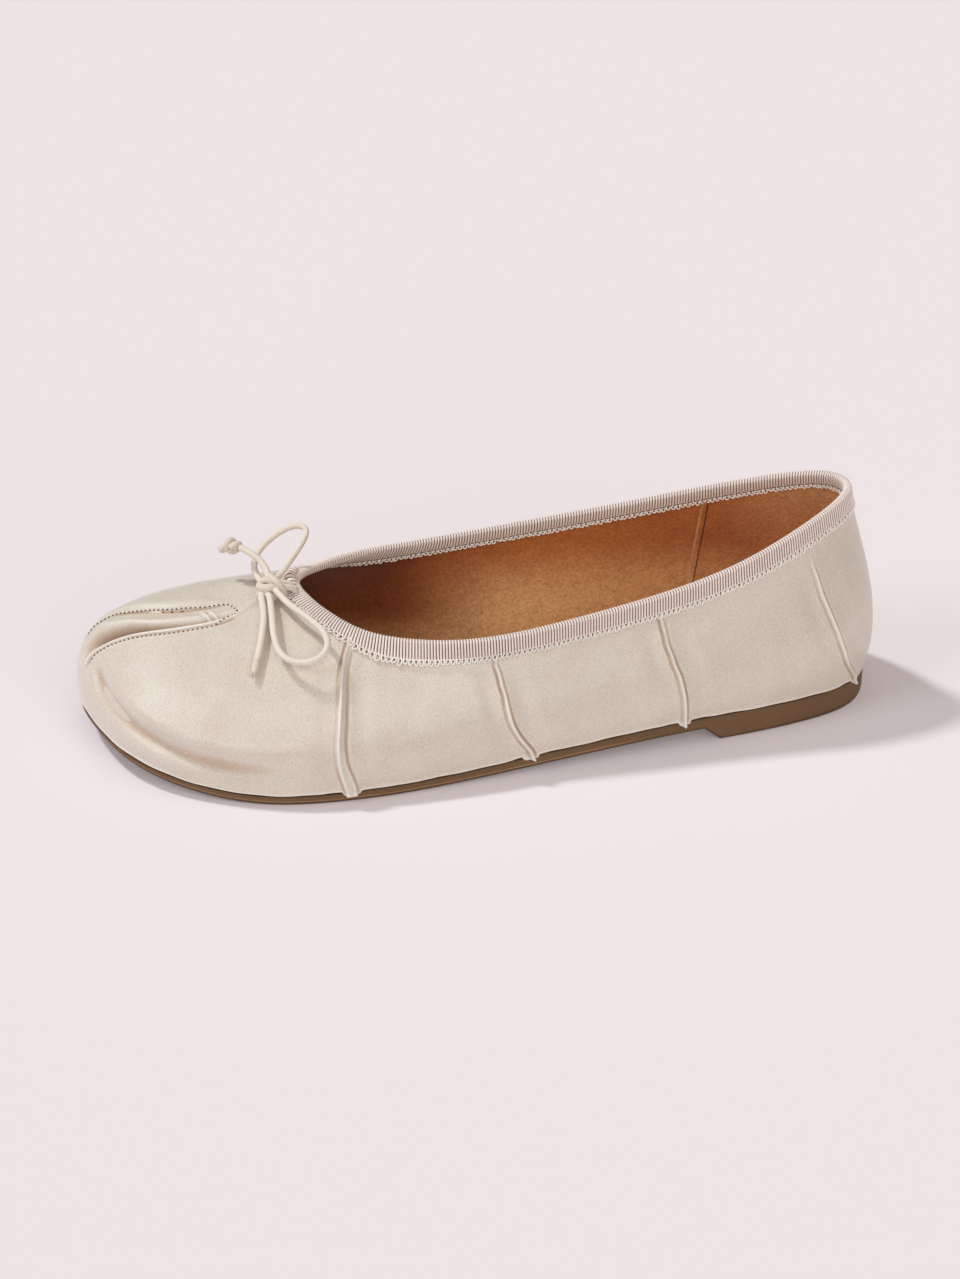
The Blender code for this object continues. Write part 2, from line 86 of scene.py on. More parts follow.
# Sections of the last, once round from the back of the heel by the lateral side.
# foot: where the upper meets the sole; collar: the top edge.
# bulge and rise: how far out and up the wall leaves the sole.
# back and drop: how far towards the sole edge and down the wall leaves the collar.
SECTIONS = (
    # name, foot x, foot s, collar x, collar s, collar z, bulge, rise, back, drop
    ("heel_back", 0.0, 0.0, 0.0, 7.0, 67.0, 7.0, 21.0, 2.0, 15.0),
    ("heel_corner", 19.2, 6.4, 10.7, 13.2, 65.9, 6.4, 20.5, 3.0, 15.5),
    ("heel_side", 29.2, 27.4, 20.5, 33.8, 59.4, 4.6, 18.1, 1.7, 13.8),
    ("breast", 34.0, 59.0, 25.0, 61.0, 50.5, 3.9, 16.0, 0.4, 12.0),
    ("waist", 38.0, 98.7, 28.3, 100.4, 43.6, 3.8, 15.8, -0.3, 12.0),
    ("joint_rear", 42.2, 139.4, 28.4, 137.4, 40.6, 3.8, 17.7, 2.5, 10.1),
    ("joint", 44.6, 172.4, 21.5, 161.8, 42.4, 3.3, 19.5, 7.4, 6.2),
    ("little_toe", 41.7, 198.6, 12.5, 171.8, 44.7, 2.8, 19.6, 19.6, 4.1),
    ("fourth_toe", 32.0, 219.7, 5.0, 176.5, 46.2, 3.0, 20.0, 27.9, 4.0),
    ("third_toe", 17.8, 234.6, -0.1, 178.5, 46.9, 3.8, 22.6, 36.5, 3.6),
    ("toe_tip", -4.6, 243.3, -5.1, 179.6, 47.3, 5.5, 26.6, 44.4, 2.8),
    ("great_toe", -22.6, 243.4, -9.5, 179.2, 47.9, 6.8, 28.0, 47.5, 2.8),
    ("great_side", -35.0, 229.3, -14.3, 175.9, 47.7, 5.8, 26.0, 36.6, 4.6),
    ("great_joint", -40.3, 205.6, -19.5, 169.2, 46.9, 4.6, 23.5, 23.4, 7.0),
    ("ball", -40.7, 185.2, -25.0, 158.4, 46.5, 3.4, 21.0, 8.3, 8.0),
    ("ball_rear", -33.5, 159.9, -29.4, 138.6, 45.7, 3.6, 19.5, 2.4, 11.0),
    ("arch_front", -25.4, 129.8, -30.2, 110.8, 47.6, 4.6, 18.0, 0.0, 12.0),
    ("arch", -24.2, 99.7, -29.0, 86.4, 50.5, 5.0, 18.0, 0.0, 12.0),
    ("arch_rear", -28.0, 65.5, -26.6, 60.6, 54.5, 4.6, 18.0, 0.2, 12.0),
    ("heel_inside", -29.2, 27.4, -20.5, 33.8, 60.5, 4.6, 18.1, 1.7, 13.8),
    ("heel_inner", -19.2, 6.4, -10.7, 13.2, 65.9, 6.4, 20.5, 3.0, 15.5),
)

# Cleft between the great toe and the others
CLEFT = (
    # v, u of the lateral lip, depth, near stitches, far stitches, crest as a share of the far stitches,
    # drop at the crest and after it as shares of the depth, start
    (0.20, 0.5112, 0.0, 2.2, 11.5, 0.95, 0.00, 0.00, 1.5),
    (0.26, 0.5108, 2.6, 1.9, 11.2, 0.95, 0.00, 0.00, 1.6),
    (0.30, 0.5099, 4.0, 1.6, 11.2, 0.95, 0.00, 0.00, 1.7),
    (0.36, 0.5068, 5.2, 1.3, 12.6, 0.92, 0.00, 0.00, 1.8),
    (0.45, 0.5022, 5.8, 1.3, 13.6, 0.72, 0.02, 0.08, 1.8),
    (0.52, 0.4974, 5.6, 1.7, 13.1, 0.64, 0.05, 0.17, 1.7),
    (0.60, 0.4896, 5.0, 2.1, 12.2, 0.51, 0.08, 0.24, 1.4),
    (0.67, 0.4823, 4.4, 2.1, 10.5, 0.50, 0.10, 0.28, 1.2),
    (0.72, 0.4769, 3.8, 1.9, 9.7, 0.50, 0.12, 0.30, 1.2),
    (0.76, 0.4738, 2.9, 1.6, 8.4, 0.48, 0.14, 0.30, 1.2),
    (0.79, 0.4728, 1.6, 1.3, 6.4, 0.45, 0.14, 0.30, 1.1),
    (0.815, 0.4726, 0.0, 0.8, 4.2, 0.42, 0.14, 0.30, 1.1),
)
# Where round the shoe its mesh columns gather, and how far to each side they lean with it
CLEFT_PLACE = 0.505
CLEFT_LEAN_WIDTH = 0.06
# Start and end of its steep wall beside the lip, run of the rise onto the lobe, least distance of the
# far stitches and least room before the crest, share of the band behind it, and depth of full strength
CLEFT_WALL_START = -0.25
CLEFT_WALL_END = 0.55
LOBE_RISE = 2.6
CLEFT_FAR_LEAST = 1.0
CREST_ROOM = 0.5
BAND_SHARE = 0.45
CLEFT_FULL_DEPTH = 2.0
# Roll of the near lip: height, then place and width as shares of the near stitches' distance
LIP_ROLL = (0.60, 0.42, 0.36)
# Dips under the near and the far stitches as depth and width, and the lobe past the far ones
NEAR_STITCH_DIP = (0.45, 0.45)
FAR_STITCH_DIP = (0.30, 0.5)
LOBE = (0.35, 3.5, 2.4)
# Where the medial flank is pinched, how high and how wide; where a pinch starts, and where it ends as
# a share of the far stitches' distance, each with its run
PINCHES = (0.735, 0.755)
PINCH_HEIGHT = 0.75
PINCH_WIDTH = 0.8
PINCH_START = (0.4, 0.8)
PINCH_END = (0.85, 1.2)
# The small fold pulled from the cleft's rear end towards the knot, as v and u, and its height
PUCKER = ((0.80, 0.4745), (0.84, 0.4795), (0.88, 0.4850), (0.93, 0.4890))
PUCKER_MIDDLE = 0.865
PUCKER_REACH = 0.075
PUCKER_HEIGHT = 0.65
PUCKER_WIDTH = 2.2
# The hollows beside it: depth, distance and half width
PUCKER_HOLLOW = (0.25, 3.0, 1.8)
# The end of the stitches round the rear of the cleft, and the first of the far ones, as u and v
CLEFT_STITCH_END = ((0.4722, 0.790), (0.4760, 0.812), (0.4850, 0.816), (0.4935, 0.804))
CLEFT_STITCH_START = ((0.5290, 0.235), (0.5285, 0.290))

# Pleats on the lateral side: line as v and u, then the ridge as v, height, width in front, width
# behind, groove in front, groove behind, width of the flat band behind the ridge, and how much of the
# height is left at the band's rear edge; then how wavy the line is, and how wide its tongue is and how
# far off the line it hangs
PLEATS = (
    {
        "line": ((0.0, 0.3390), (0.147, 0.3436), (0.535, 0.3496), (0.698, 0.3535), (0.835, 0.3552)),
        "ridge": (
            (0.0, 1.1, 0.70, 0.45, 0.00, 0.50, 3.0, 0.80),
            (0.07, 1.15, 0.90, 0.50, 0.00, 0.60, 2.9, 0.55),
            (0.20, 1.2, 1.30, 0.70, 0.00, 0.80, 1.8, 0.45),
            (0.50, 1.2, 1.30, 0.90, 0.00, 0.80, 1.2, 0.40),
            (0.68, 1.15, 0.80, 1.00, 0.40, 0.50, 1.0, 0.35),
            (0.80, 1.0, 0.55, 1.20, 0.80, 0.35, 0.9, 0.35),
            (0.89, 0.55, 0.50, 0.80, 0.40, 0.15, 1.0, 0.25),
            (0.95, 0.0, 0.45, 0.70, 0.00, 0.00, 0.8, 0.30),
        ),
        "wave": 0.05,
        "tongue": 5.4,
        "tongue_at": -1.5,
    },
    {
        "line": ((0.0, 0.2350), (0.245, 0.2470), (0.520, 0.2515), (0.772, 0.2545)),
        "ridge": (
            (0.0, 1.2, 1.30, 0.45, 0.00, 0.50, 0.20, 0.95),
            (0.18, 1.3, 1.50, 0.45, 0.00, 0.60, 0.15, 0.95),
            (0.34, 1.3, 1.10, 0.50, 0.20, 0.50, 0.15, 0.95),
            (0.50, 1.2, 0.60, 0.80, 0.60, 0.20, 0.15, 0.95),
            (0.66, 1.0, 0.50, 1.10, 0.70, 0.10, 0.15, 0.95),
            (0.80, 0.5, 0.50, 1.10, 0.40, 0.00, 0.15, 0.95),
            (0.88, 0.0, 0.45, 0.80, 0.05, 0.00, 0.15, 0.95),
        ),
        "wave": 0.05,
        "tongue": 4.8,
        "tongue_at": 1.2,
    },
    {
        "line": ((0.005, 0.1490), (0.302, 0.1515), (0.580, 0.1565), (0.833, 0.1590)),
        "ridge": (
            (0.0, 1.35, 1.10, 0.45, 0.00, 0.50, 0.25, 0.90),
            (0.2, 1.35, 1.10, 0.50, 0.05, 0.60, 0.20, 0.90),
            (0.45, 1.25, 0.80, 0.60, 0.30, 0.45, 0.15, 0.90),
            (0.65, 1.05, 0.55, 0.90, 0.60, 0.15, 0.15, 0.90),
            (0.82, 0.75, 0.50, 1.10, 0.55, 0.05, 0.15, 0.90),
            (0.92, 0.0, 0.45, 0.80, 0.10, 0.00, 0.15, 0.90),
        ),
        "wave": 0.08,
        "tongue": 3.6,
        "tongue_at": 0.0,
    },
    {
        "line": ((0.005, 0.0415), (0.115, 0.0495), (0.357, 0.0575), (0.547, 0.0615), (0.758, 0.0630)),
        "ridge": (
            (0.0, 1.1, 0.60, 0.50, 0.30, 0.30, 0.15, 0.90),
            (0.2, 1.25, 0.90, 0.50, 0.10, 0.50, 0.15, 0.90),
            (0.45, 1.30, 0.90, 0.50, 0.10, 0.60, 0.15, 0.90),
            (0.62, 1.05, 0.80, 0.55, 0.20, 0.45, 0.15, 0.90),
            (0.75, 0.45, 0.60, 0.60, 0.20, 0.20, 0.15, 0.90),
            (0.82, 0.0, 0.50, 0.50, 0.00, 0.00, 0.15, 0.90),
        ),
        "wave": 0.10,
        "tongue": 2.4,
        "tongue_at": 0.0,
    },
)
PLEAT_LEAN_WIDTH = 0.020
# Grooves at a pleat's feet: depth, how far off they lie, and half width in front and behind
PLEAT_GROOVE = 0.6
GROOVE_GAP = 0.15
GROOVE_FRONT = 0.6
GROOVE_REAR = 0.7
# How a pleat pulls the satin down beside it: share of its height, then place and half width
PLEAT_PULL = 0.22
PULL_FRONT = (4.5, 4.0)
PULL_REAR = (5.5, 4.5)
# Three waves of a pleat's line as rate along v and phase, how its place shifts the first, the share of
# the last, and the wave of its height
PLEAT_WAVES = ((23.0, 0.0), (9.0, 1.0), (41.0, 2.0))
PLEAT_WAVE_SHIFT = 90.0
PLEAT_LAST_WAVE = 0.6
PLEAT_HEIGHT_WAVE = (0.25, 57.0)
# The satin's tongue at the foot of a pleat: depth, reach, run of its sides, and how far it stands out
TONGUE_DEPTH = 1.0
TONGUE_REACH = 2.4
TONGUE_SIDE = 0.9
TONGUE_LIFT = 0.4
# Unevenness of the satin's lower edge: depth and how fast it changes along u
EDGE_WAVE = (0.12, 190.0, 71.0)
# Rolled lower edge of the satin: height, place and width
EDGE_ROLL = ((0.30, 0.6, 0.4), (-0.25, 0.0, 0.25))
# Unevenness of the stretched satin: height, wave lengths over 2 pi, bend or slant, and phase of its
# long and its short waves, and over what share of the height they fade out at the sole and the collar
SWAY_LONG = (0.10, 6.5, 10.0, 13.0, 1.3, 0.7)
SWAY_SHORT = (0.035, 2.3, 3.1, 9.0, 0.4)
SWAY_LOW = 0.1
SWAY_TOP = 0.15
# How far from the collar edge the satin's folds fade out under the binding
BINDING_COVER = 3.0

# Seam of the quarter on the medial side, as v and u; its ridge as height and half width, its grooves as
# height, place and half width, and how uneven it is
MEDIAL_SEAM = ((0.0, 0.8505), (0.5, 0.8315), (1.0, 0.806))
MEDIAL_SEAM_LEAN = 0.030
SEAM_RIDGE = (0.45, 1.1)
SEAM_GROOVES = ((-0.25, 1.5, 0.8), (-0.15, -1.3, 0.9))
SEAM_PUCKER = (0.35, 61.0, 17.0)
# Seam of the lining with its tape: half width, run of each side, height, and where it goes under the
# binding; then its grooves, the painted highlight on its edge and the painted shade along its stitched
# groove, as height, place and half width
LINING_SEAM = ((0.0, 0.8880), (0.5, 0.8940), (1.0, 0.8997))
LINING_SEAM_LEAN = 0.02
TAPE_HALF = 1.25
TAPE_SIDES = (0.25, 0.3)
TAPE_HEIGHT = 0.95
TAPE_TOP = (2.2, 3.0)
TAPE_STITCHES = 0.75
TAPE_GROOVES = ((-1.05, TAPE_STITCHES, 0.4), (-0.25, -1.9, 0.8))
TAPE_PAINTED_HIGHLIGHT = ((0.75, -1.2, 0.4),)
TAPE_PAINTED_SHADE = ((0.85, TAPE_STITCHES, 0.55),)

# Soft crease round the toe above the sole, as u and v
TOE_TROUGH = (
    (0.3550, 0.156), (0.3750, 0.147), (0.3950, 0.139), (0.4150, 0.136), (0.4350, 0.141),
    (0.4550, 0.149), (0.4700, 0.164), (0.4850, 0.188), (0.4950, 0.220), (0.5030, 0.262),
)
TROUGH_DEPTH = 1.8
TROUGH_ABOVE = 3.3
TROUGH_BELOW = 2.7
TROUGH_STEP = 0.01
# Where it fades in and out, as u and run, and the swell above it as height, place and width
TROUGH_START = (0.345, 0.065)
TROUGH_END = (0.508, 0.012)
TROUGH_SWELL = ((0.55, 5.6, 3.0),)

# Heights between which painted light makes the lining paler towards the insole
LINING_PAINTED_LIGHT_TOP = 42.0
LINING_PAINTED_LIGHT_LOW = 18.0
# Where painted light makes the lining paler round the heel and by how much, and where painted shade makes it
# darker under the vamp, as s
LINING_PAINTED_LIGHT_HEEL = 48.0
LINING_PAINTED_LIGHT_SHARE = 0.78
LINING_PAINTED_SHADE_START = 102.0
LINING_PAINTED_SHADE_END = 152.0
# Where the painted shade on the lining starts over the insole, over what height it deepens, and its share
# below
LINING_PAINTED_SHADE_LOW = 10.0
LINING_PAINTED_SHADE_RISE = 14.0
LINING_PAINTED_SHADE_SHARE = 0.35

# Thickness of the two layers of the upper, and how far in the satin's hidden edge lies on the sole
SATIN_THICKNESS = 0.85
LINING_OUTSIDE = 1.0
SATIN_TUCK = 0.9
# How the hidden layers make room for the cleft: start and run ahead of it, room and share behind it,
# and share of its depth
FOLD_AHEAD = (4.5, 4.0)
FOLD_BEHIND = (1.0, 0.45)
FOLD_DEPTH = 1.05
# Painted shade and painted highlight on the satin: how hollow it must be for the painted shade of a crease
# to start, its run and most; how deep it must lie for painted shade to start, and run; how far a ridge must
# stand out for its painted highlight to start, and run; and the painted highlight along the lower edge as
# height, place and half width
PAINTED_SHADE_HOLLOW = (0.24, 1.2, 0.50)
PAINTED_SHADE_DEPTH = (0.8, 2.9)
PAINTED_HIGHLIGHT_RISE = (0.15, 0.65)
PAINTED_EDGE_HIGHLIGHT = ((0.55, 0.6, 0.45),)

# Sole: rings on its wall as shares of its height, and how pale each of its rings is, from the underside
# up to the line under the upper: the wall's own brown, with painted shade on the underside, the rounded
# lower edge and the rings under the upper; with a thin paler line from the arch forwards
SOLE_WALL = (0.03, 0.10, 0.17, 0.85)
SOLE_TONE_AND_PAINTED_SHADE = (0.1,) * 5 + (0.12, 0.14, 0.18) + (0.30,) * 4 + (0.29, 0.26, 0.22, 0.20, 0.20)
SOLE_LINE = (0.0,) * 8 + (0.08, 0.52, 0.56, 0.04) + (0.0,) * 5
SOLE_LINE_START = 72.0
SOLE_LINE_RUN = 25.0
SOLE_EDGE_RINGS = 7
# The thin step under the upper as inset and distance below the top, the top ring's inset, the insets of
# the underside's two rings, and how the inner one is lifted ahead of the heel: height, start and run
SOLE_STEP = ((0.0, 0.35), (0.10, 0.10), (0.35, 0.0))
SOLE_TOP_INSET = 1.2
SOLE_UNDER_INSETS = (2.4, 1.8)
TREAD_LIFT = (0.35, 75.0, 20.0)
# Room kept free of other stations at the breast, and the angles above which edges stay sharp
BREAST_CLEAR = 1.0
SOLE_SHARP = 50
INSOLE_SHARP = 60
# Insole: thickness, lower inset, then rings as inset and distance below its top, and its wear along s
INSOLE_THICKNESS = 1.7
INSOLE_INSET = 0.35
INSOLE_RINGS = ((0.25, 0.8), (0.35, 0.4), (0.70, 0.12), (1.30, 0.0), (4.0, -0.05))
INSOLE_WEAR = 40.0

# Bow: thickness of its cord, parts of a curve between two points, and the middles of knot and far tip
CORD_DIAMETER = 2.0
CURVE_PARTS = 24
KNOT_CENTRE = (-1.5, 189.5, 49.5)
TIP_FAR = (-16.0, 197.6, 57.5)
# The far end's stub: distance past the small knot's centre, how far it hangs down, and radius
TIP_FAR_STUB = (
    (-1.8, 0.0, 0.90), (-0.8, 0.0, 0.90), (0.6, 0.1, 0.90), (1.8, 0.7, 0.92), (2.6, 1.5, 1.00),
    (3.2, 2.2, 1.15), (3.8, 2.9, 1.25), (4.0, 3.2, 1.20),
)
BOW_ROUTES = {
    "bow_loop_near": (
        (2.4, 187.8, 50.2), (9.5, 185.5, 49.3), (14.0, 182.9, 48.6), (18.5, 180.2, 47.5),
        (23.0, 178.0, 46.2), (26.7, 177.7, 44.3), (29.3, 179.6, 42.3), (30.2, 184.0, 40.8),
        (28.2, 189.0, 40.6), (24.0, 191.8, 41.9), (17.5, 192.1, 44.4), (10.5, 191.1, 46.9),
        (2.9, 190.2, 49.0),
    ),
    "bow_loop_far": (
        (-5.2, 187.5, 50.1), (-7.6, 184.9, 50.6), (-10.5, 181.0, 53.6), (-14.5, 176.6, 56.9),
        (-18.0, 174.2, 59.3), (-20.3, 175.8, 60.2), (-21.0, 180.6, 58.9), (-19.0, 186.6, 56.1),
        (-16.5, 189.9, 53.9), (-13.6, 191.6, 51.9), (-9.8, 191.5, 50.0), (-5.6, 190.5, 49.3),
    ),
    "bow_end_near": (
        (1.4, 192.6, 48.7), (5.4, 192.8, 47.6), (9.9, 193.5, 45.8), (14.6, 195.0, 43.6),
        (19.0, 196.7, 41.0), (23.0, 198.7, 38.0),
    ),
    "bow_end_far": (
        (-4.3, 189.0, 52.2), (-6.3, 189.1, 53.3), (-9.5, 190.5, 55.3), (-12.0, 193.3, 57.0),
        (-14.4, 195.7, 57.7),
    ),
    "bow_neck_near": ((-1.3, 182.2, 49.3), (-1.0, 184.2, 49.7), (-0.8, 186.3, 50.0)),
    "bow_neck_far": ((-3.8, 182.4, 49.5), (-3.6, 184.4, 49.9), (-3.3, 186.4, 50.2)),
}

# The knot's wraps as radius, then offsets from its centre: right, up and towards the camera
KNOT_WRAPS = (
    (1.25, (
        (-1.6, 1.6, -0.8), (-2.6, 1.0, 0.5), (-2.3, 0.4, 1.6), (-1.0, 0.2, 2.2), (0.6, 0.3, 2.2),
        (1.6, 0.2, 1.5), (2.1, -0.3, 0.2),
    )),
    (1.1, (
        (0.4, 3.9, -0.6), (1.0, 3.3, 1.0), (2.2, 2.3, 1.9), (3.4, 1.0, 1.9), (4.2, -0.2, 1.3),
        (4.5, -1.2, -0.2),
    )),
    (0.95, (
        (-2.9, 1.2, 0.2), (-1.9, 2.3, 1.0), (-0.4, 2.6, 1.3), (0.9, 1.9, 1.0), (1.4, 0.9, 0.0),
    )),
    (0.95, (
        (-1.6, -0.9, 0.4), (-0.4, -1.4, 1.4), (1.0, -1.9, 1.3), (2.0, -2.7, 0.4),
    )),
)
# The curl of cord at the knot's near side: its centre as an offset, its radius, the cord's radius, its
# tilt, and where it starts and how far it turns, in radians; then the knot's core
KNOT_CURL = (-2.4, -2.1, 1.5)
KNOT_CURL_RADIUS = 0.95
KNOT_CURL_CORD = 0.66
KNOT_CURL_TILT = 0.25
KNOT_CURL_START = 0.2
KNOT_CURL_TURN = 1.9 * math.pi
KNOT_CORE = 2.1
KNOT_CORE_MESH = (16, 9)
KNOT_STEP = 0.3
# The near end past its route, as distance and radius
TIP_NEAR = ((-1.6, 1.03), (-0.6, 1.08), (0.4, 1.04), (1.6, 1.0), (2.6, 0.88), (3.4, 0.62))
# The far end's small knot: its two turns as offset, tilt and phase, how far round and how wide they
# go, and the cord's radius
TIP_FAR_TURNS = ((-0.9, 0.75, 0.3), (0.9, -0.65, 2.4))
TIP_FAR_ROUND = 2.0 * math.pi * 0.93
TIP_FAR_WIDTH = 1.45
TIP_FAR_CORD = 1.0
TURN_POINTS = 26
TIP_SIDES = 12
# Loose fibres at each end: start past it, count, length, spread of their tips, and seed; then spread of
# their roots, shortest and longest share of the length, bend and radii
TIP_NEAR_FRAY = (3.0, 14, 1.3, 0.22, 9)
TIP_FAR_FRAY = (-0.4, 34, 0.9, 0.22, 5)
FRAY_ROOT = 0.40
FRAY_SHARES = (0.7, 1.1)
FRAY_BEND = 0.12
FRAY_RADII = (0.20, 0.16, 0.06)
FRAY_SIDES = 5
# The two cords from the throat to their ends, as points and whole routes
CORD_NEAR = (
    (-1.7, 181.2, 47.2), (-1.5, 181.7, 48.6), "bow_neck_near", (-0.6, 188.2, 50.3),
    (0.6, 188.3, 50.5), "bow_loop_near", (1.2, 190.2, 49.2), (-0.4, 190.8, 49.3),
    (-0.4, 192.0, 49.0), "bow_end_near",
)
CORD_FAR = (
    (-3.9, 181.3, 47.4), (-3.85, 181.9, 48.8), "bow_neck_far", (-2.8, 188.0, 50.4),
    (-3.9, 188.3, 50.2), "bow_loop_far", (-3.9, 190.6, 49.6), (-2.5, 190.2, 50.6),
    (-2.9, 189.3, 51.6), "bow_end_far",
)
# How often a cord's path is smoothed, and how many points back the direction of its end is read
CORD_RELAX = 10
CORD_END_POINTS = 8

# Meshes: the small step of u or v that slopes are read over, and the points of a finely read curve
FINE_STEP = 1e-3
FINE_COUNT = 4001
# How small the level part of a path's direction is when the path counts as upright
UPRIGHT = 0.1
# Millimetres of skin once round and, in the middle, from sole to collar; and over the vamp
SKIN_LENGTH = 573.0
SKIN_HEIGHT = 50.0
VAMP_HEIGHT = 75.0
# Columns and rows of each grid, and how far off a point's neighbours are read for its painted shade and
# highlight
SATIN_COLUMNS = 740
SATIN_ROWS = 112
HIDDEN_ROWS = 9
SHADE_REACH = 1.0
# How mesh lines crowd together, as density, place and width: columns at the heel, at and behind the
# cleft, along the pleats and the seam, and at the lining's seam; and rows
COLUMNS_BASE = 0.8
COLUMNS_HEEL = ((0.5, 0.0, 0.06),)
COLUMNS_CLEFT = ((8.0, 0.0, 0.0040), (2.8, 0.010, 0.014))
COLUMNS_LINE = 6.0
COLUMNS_LINE_WIDTH = 0.0045
COLUMNS_TAPE = ((9.0, 0.0, 0.006),)
ROWS_CROWD = ((7.0, 0.0, 0.012), (1.2, 0.16, 0.08), (4.0, 0.5 * sum(PINCHES), 0.022))
# Distance from the collar, as v, over which columns straighten at the cleft
LEAN_STRAIGHT = 0.2
LINING_COLUMNS = 380
LINING_ROWS = 40
SOLE_STATIONS = 150
CORD_STEP = 0.6
CORD_SIDES = 14

# Ribbon binding: ribs, then its section as distance below the edge, height over the outer face, how
# ribbed it is, in shape and in the painted shade of its grooves, and which way its ribs stand
RIB_COUNT = 440
RIB_SHAPE = (0.0, 0.85, 1.0, 0.85)
RIB_HEIGHT = 0.42
RIBBON_SECTION = (
    (4.9, -0.2, 0.0, 1), (4.95, 0.36, 0.2, 1), (4.6, 0.46, 0.3, 1), (4.3, 0.50, 0.8, 1),
    (4.0, 0.58, 1.0, 1), (3.5, 0.64, 1.0, 1), (2.4, 0.68, 1.0, 1), (1.2, 0.68, 1.0, 1),
    (0.2, 0.62, 1.0, 1), (-0.7, 0.25, 0.8, 1), (-1.0, -0.8, 1.0, 0), (-0.7, -1.85, 0.8, -1),
    (0.2, -2.22, 1.0, -1), (1.2, -2.30, 1.0, -1), (2.3, -2.28, 1.0, -1), (2.8, -2.12, 0.6, -1),
    (3.05, -1.86, 0.0, -1), (3.3, -2.08, 0.3, -1), (3.6, -1.98, 0.2, -1), (3.55, -1.66, 0.0, -1),
    (2.4, -1.66, 0.0, -1), (-0.25, -1.66, 0.0, -1), (-0.25, 0.04, 0.0, 1), (2.4, 0.04, 0.0, 1),
)
# The gathered end of the ribbon over the front of the throat: its run, place, radius and ribs
THROAT_ROLL_U = (0.560, 0.478)
THROAT_ROLL_BELOW = 2.0
THROAT_ROLL_LIFT = 0.5
THROAT_ROLL_RADIUS = 2.1
THROAT_RIBS = 8
THROAT_SIDES = 20
THROAT_RIB_HEIGHT = 0.50
THROAT_STEP = 0.05
# How the roll swells: its share at the ends, start and run of the swell, and how full it is
THROAT_SWELL = (0.30, 0.06, 0.88, 0.7)
# Where the ribbon's end laps over its start at the throat: place, height, length, edge and notch
LAP_U = 0.487
LAP_HEIGHT = 0.9
LAP_LENGTH = 0.06
LAP_EDGE = 0.0030
LAP_GROOVE = 0.30
LAP_NOTCH = 0.7
LAP_NOTCH_WIDTH = 0.008
LAP_MIDDLE = 1.6
LAP_REACH = 3.4
# Where the ribs stand on the ribbon's top edge, where its lower edge starts, both as distance below, and
# the height above which it is the outer face
RIBBON_TOP = -0.5
RIBBON_LOWER = 2.0
RIBBON_OUTER = 0.1
# Thread picots along both edges
PICOT_PITCH = 1.55
PICOT_RADIUS = 0.27
PICOT_SIDES = 5
# One picot's loop: places across it as shares of the pitch, which of them slant, and shares of its reach
PICOT_ACROSS = (-0.30, -0.36, -0.20, 0.05, 0.30, 0.36, 0.26)
PICOT_SLANTED = (0.0, 0.0, 1.0, 1.0, 1.0, 0.0, 0.0)
PICOT_DOWN = (0.0, 0.45, 0.88, 1.0, 0.86, 0.45, 0.0)
PICOT_SLANT = 0.18
PICOT_ARCH = 0.10
PICOT_JITTER = 0.20
PICOT_SEED = 11
# Picot rows: where they start below the edge, how far they reach, height, and which way they face
PICOT_ROWS = ((4.55, 1.45, 0.40, 1), (3.25, 1.15, -2.0, -1))
# Rows of stitches on the ribbon: distance below the edge, height, and which way they face
BINDING_STITCHES = ((4.95, 0.34, 1.0), (3.15, -1.98, -1.0))
BINDING_STITCH_PITCH = 2.2
BINDING_STITCH_V = 0.97
COLLAR_POINTS = 1600
CLEFT_STITCH_PITCH = 1.45
SEAM_STITCH_PITCH = 1.7
# Length and radius of each kind of stitch and of the dark beads of painted shade in the needle holes, how
# flat they lie, and how high
BINDING_THREAD = (1.4, 0.17)
BINDING_HOLE_SHADE = (0.75, 0.24)
BINDING_HOLE_LIFT = 0.05
CLEFT_THREAD = (0.95, 0.22)
CLEFT_HOLE_SHADE = (0.62, 0.30)
CLEFT_THREAD_LIFT = 0.06
SEAM_THREAD = (1.1, 0.17)
SEAM_THREAD_LIFT = 0.04
LINING_THREAD = (1.1, 0.20)
LINING_THREAD_DEPTH = 0.15
STITCH_FLATNESS = 0.7
STITCH_STEP = 0.25
STITCH_REACH = 0.2
# The medial seam's stitches: distance from the seam, and where they start and end as v; then the
# lining seam's
SEAM_STITCH_OFFSET = 1.6
SEAM_STITCH_RUN = (0.02, 0.86, 12)
LINING_STITCH_RUN = (0.16, 0.90, 160)

# Light
FLOOR_SIZE = 9000.0
FLOOR_COLOUR = (0.690, 0.638, 0.658)
FLOOR_GLOW = (0.155, 0.136, 0.141)
WORLD_COLOUR = (1.0, 0.905, 0.825)
WORLD_STRENGTH = 0.25
WHITE = (1.0, 1.0, 1.0)
# Large far lamps: name, where the light comes from, strength, width in degrees, colour, in reflections
LAMPS = (
    ("key", (-0.36, -0.42, 0.83), 1.78, 6.0, (0.965, 1.0, 1.0), False),
    ("front", (0.20, -0.75, 0.62), 0.60, 26.0, (0.87, 0.945, 1.0), True),
    ("fill", (0.82, 0.03, 0.57), 1.10, 50.0, (1.0, 0.965, 0.895), True),
)


def smooth_step(t):
    """Ease from 0 to 1."""
    t = np.clip(t, 0.0, 1.0)
    return t * t * (3.0 - 2.0 * t)


def bell(t):
    """1 at the middle, smoothly down to 0 at plus and minus 1."""
    return np.clip(1.0 - t * t, 0.0, 1.0) ** 2


def bells(t, rises):
    """Sum of rises that end, each given as height, place and half width."""
    return sum(height * bell((t - at) / width) for height, at, width in rises)


def humps(t, rises):
    """Sum of rises that fade away, each given as height, place and width."""
    return sum(height * np.exp(-(((t - at) / width) ** 2)) for height, at, width in rises)


def norm(vectors):
    """Lengths of vectors along the last axis."""
    return np.linalg.norm(vectors, axis=-1)


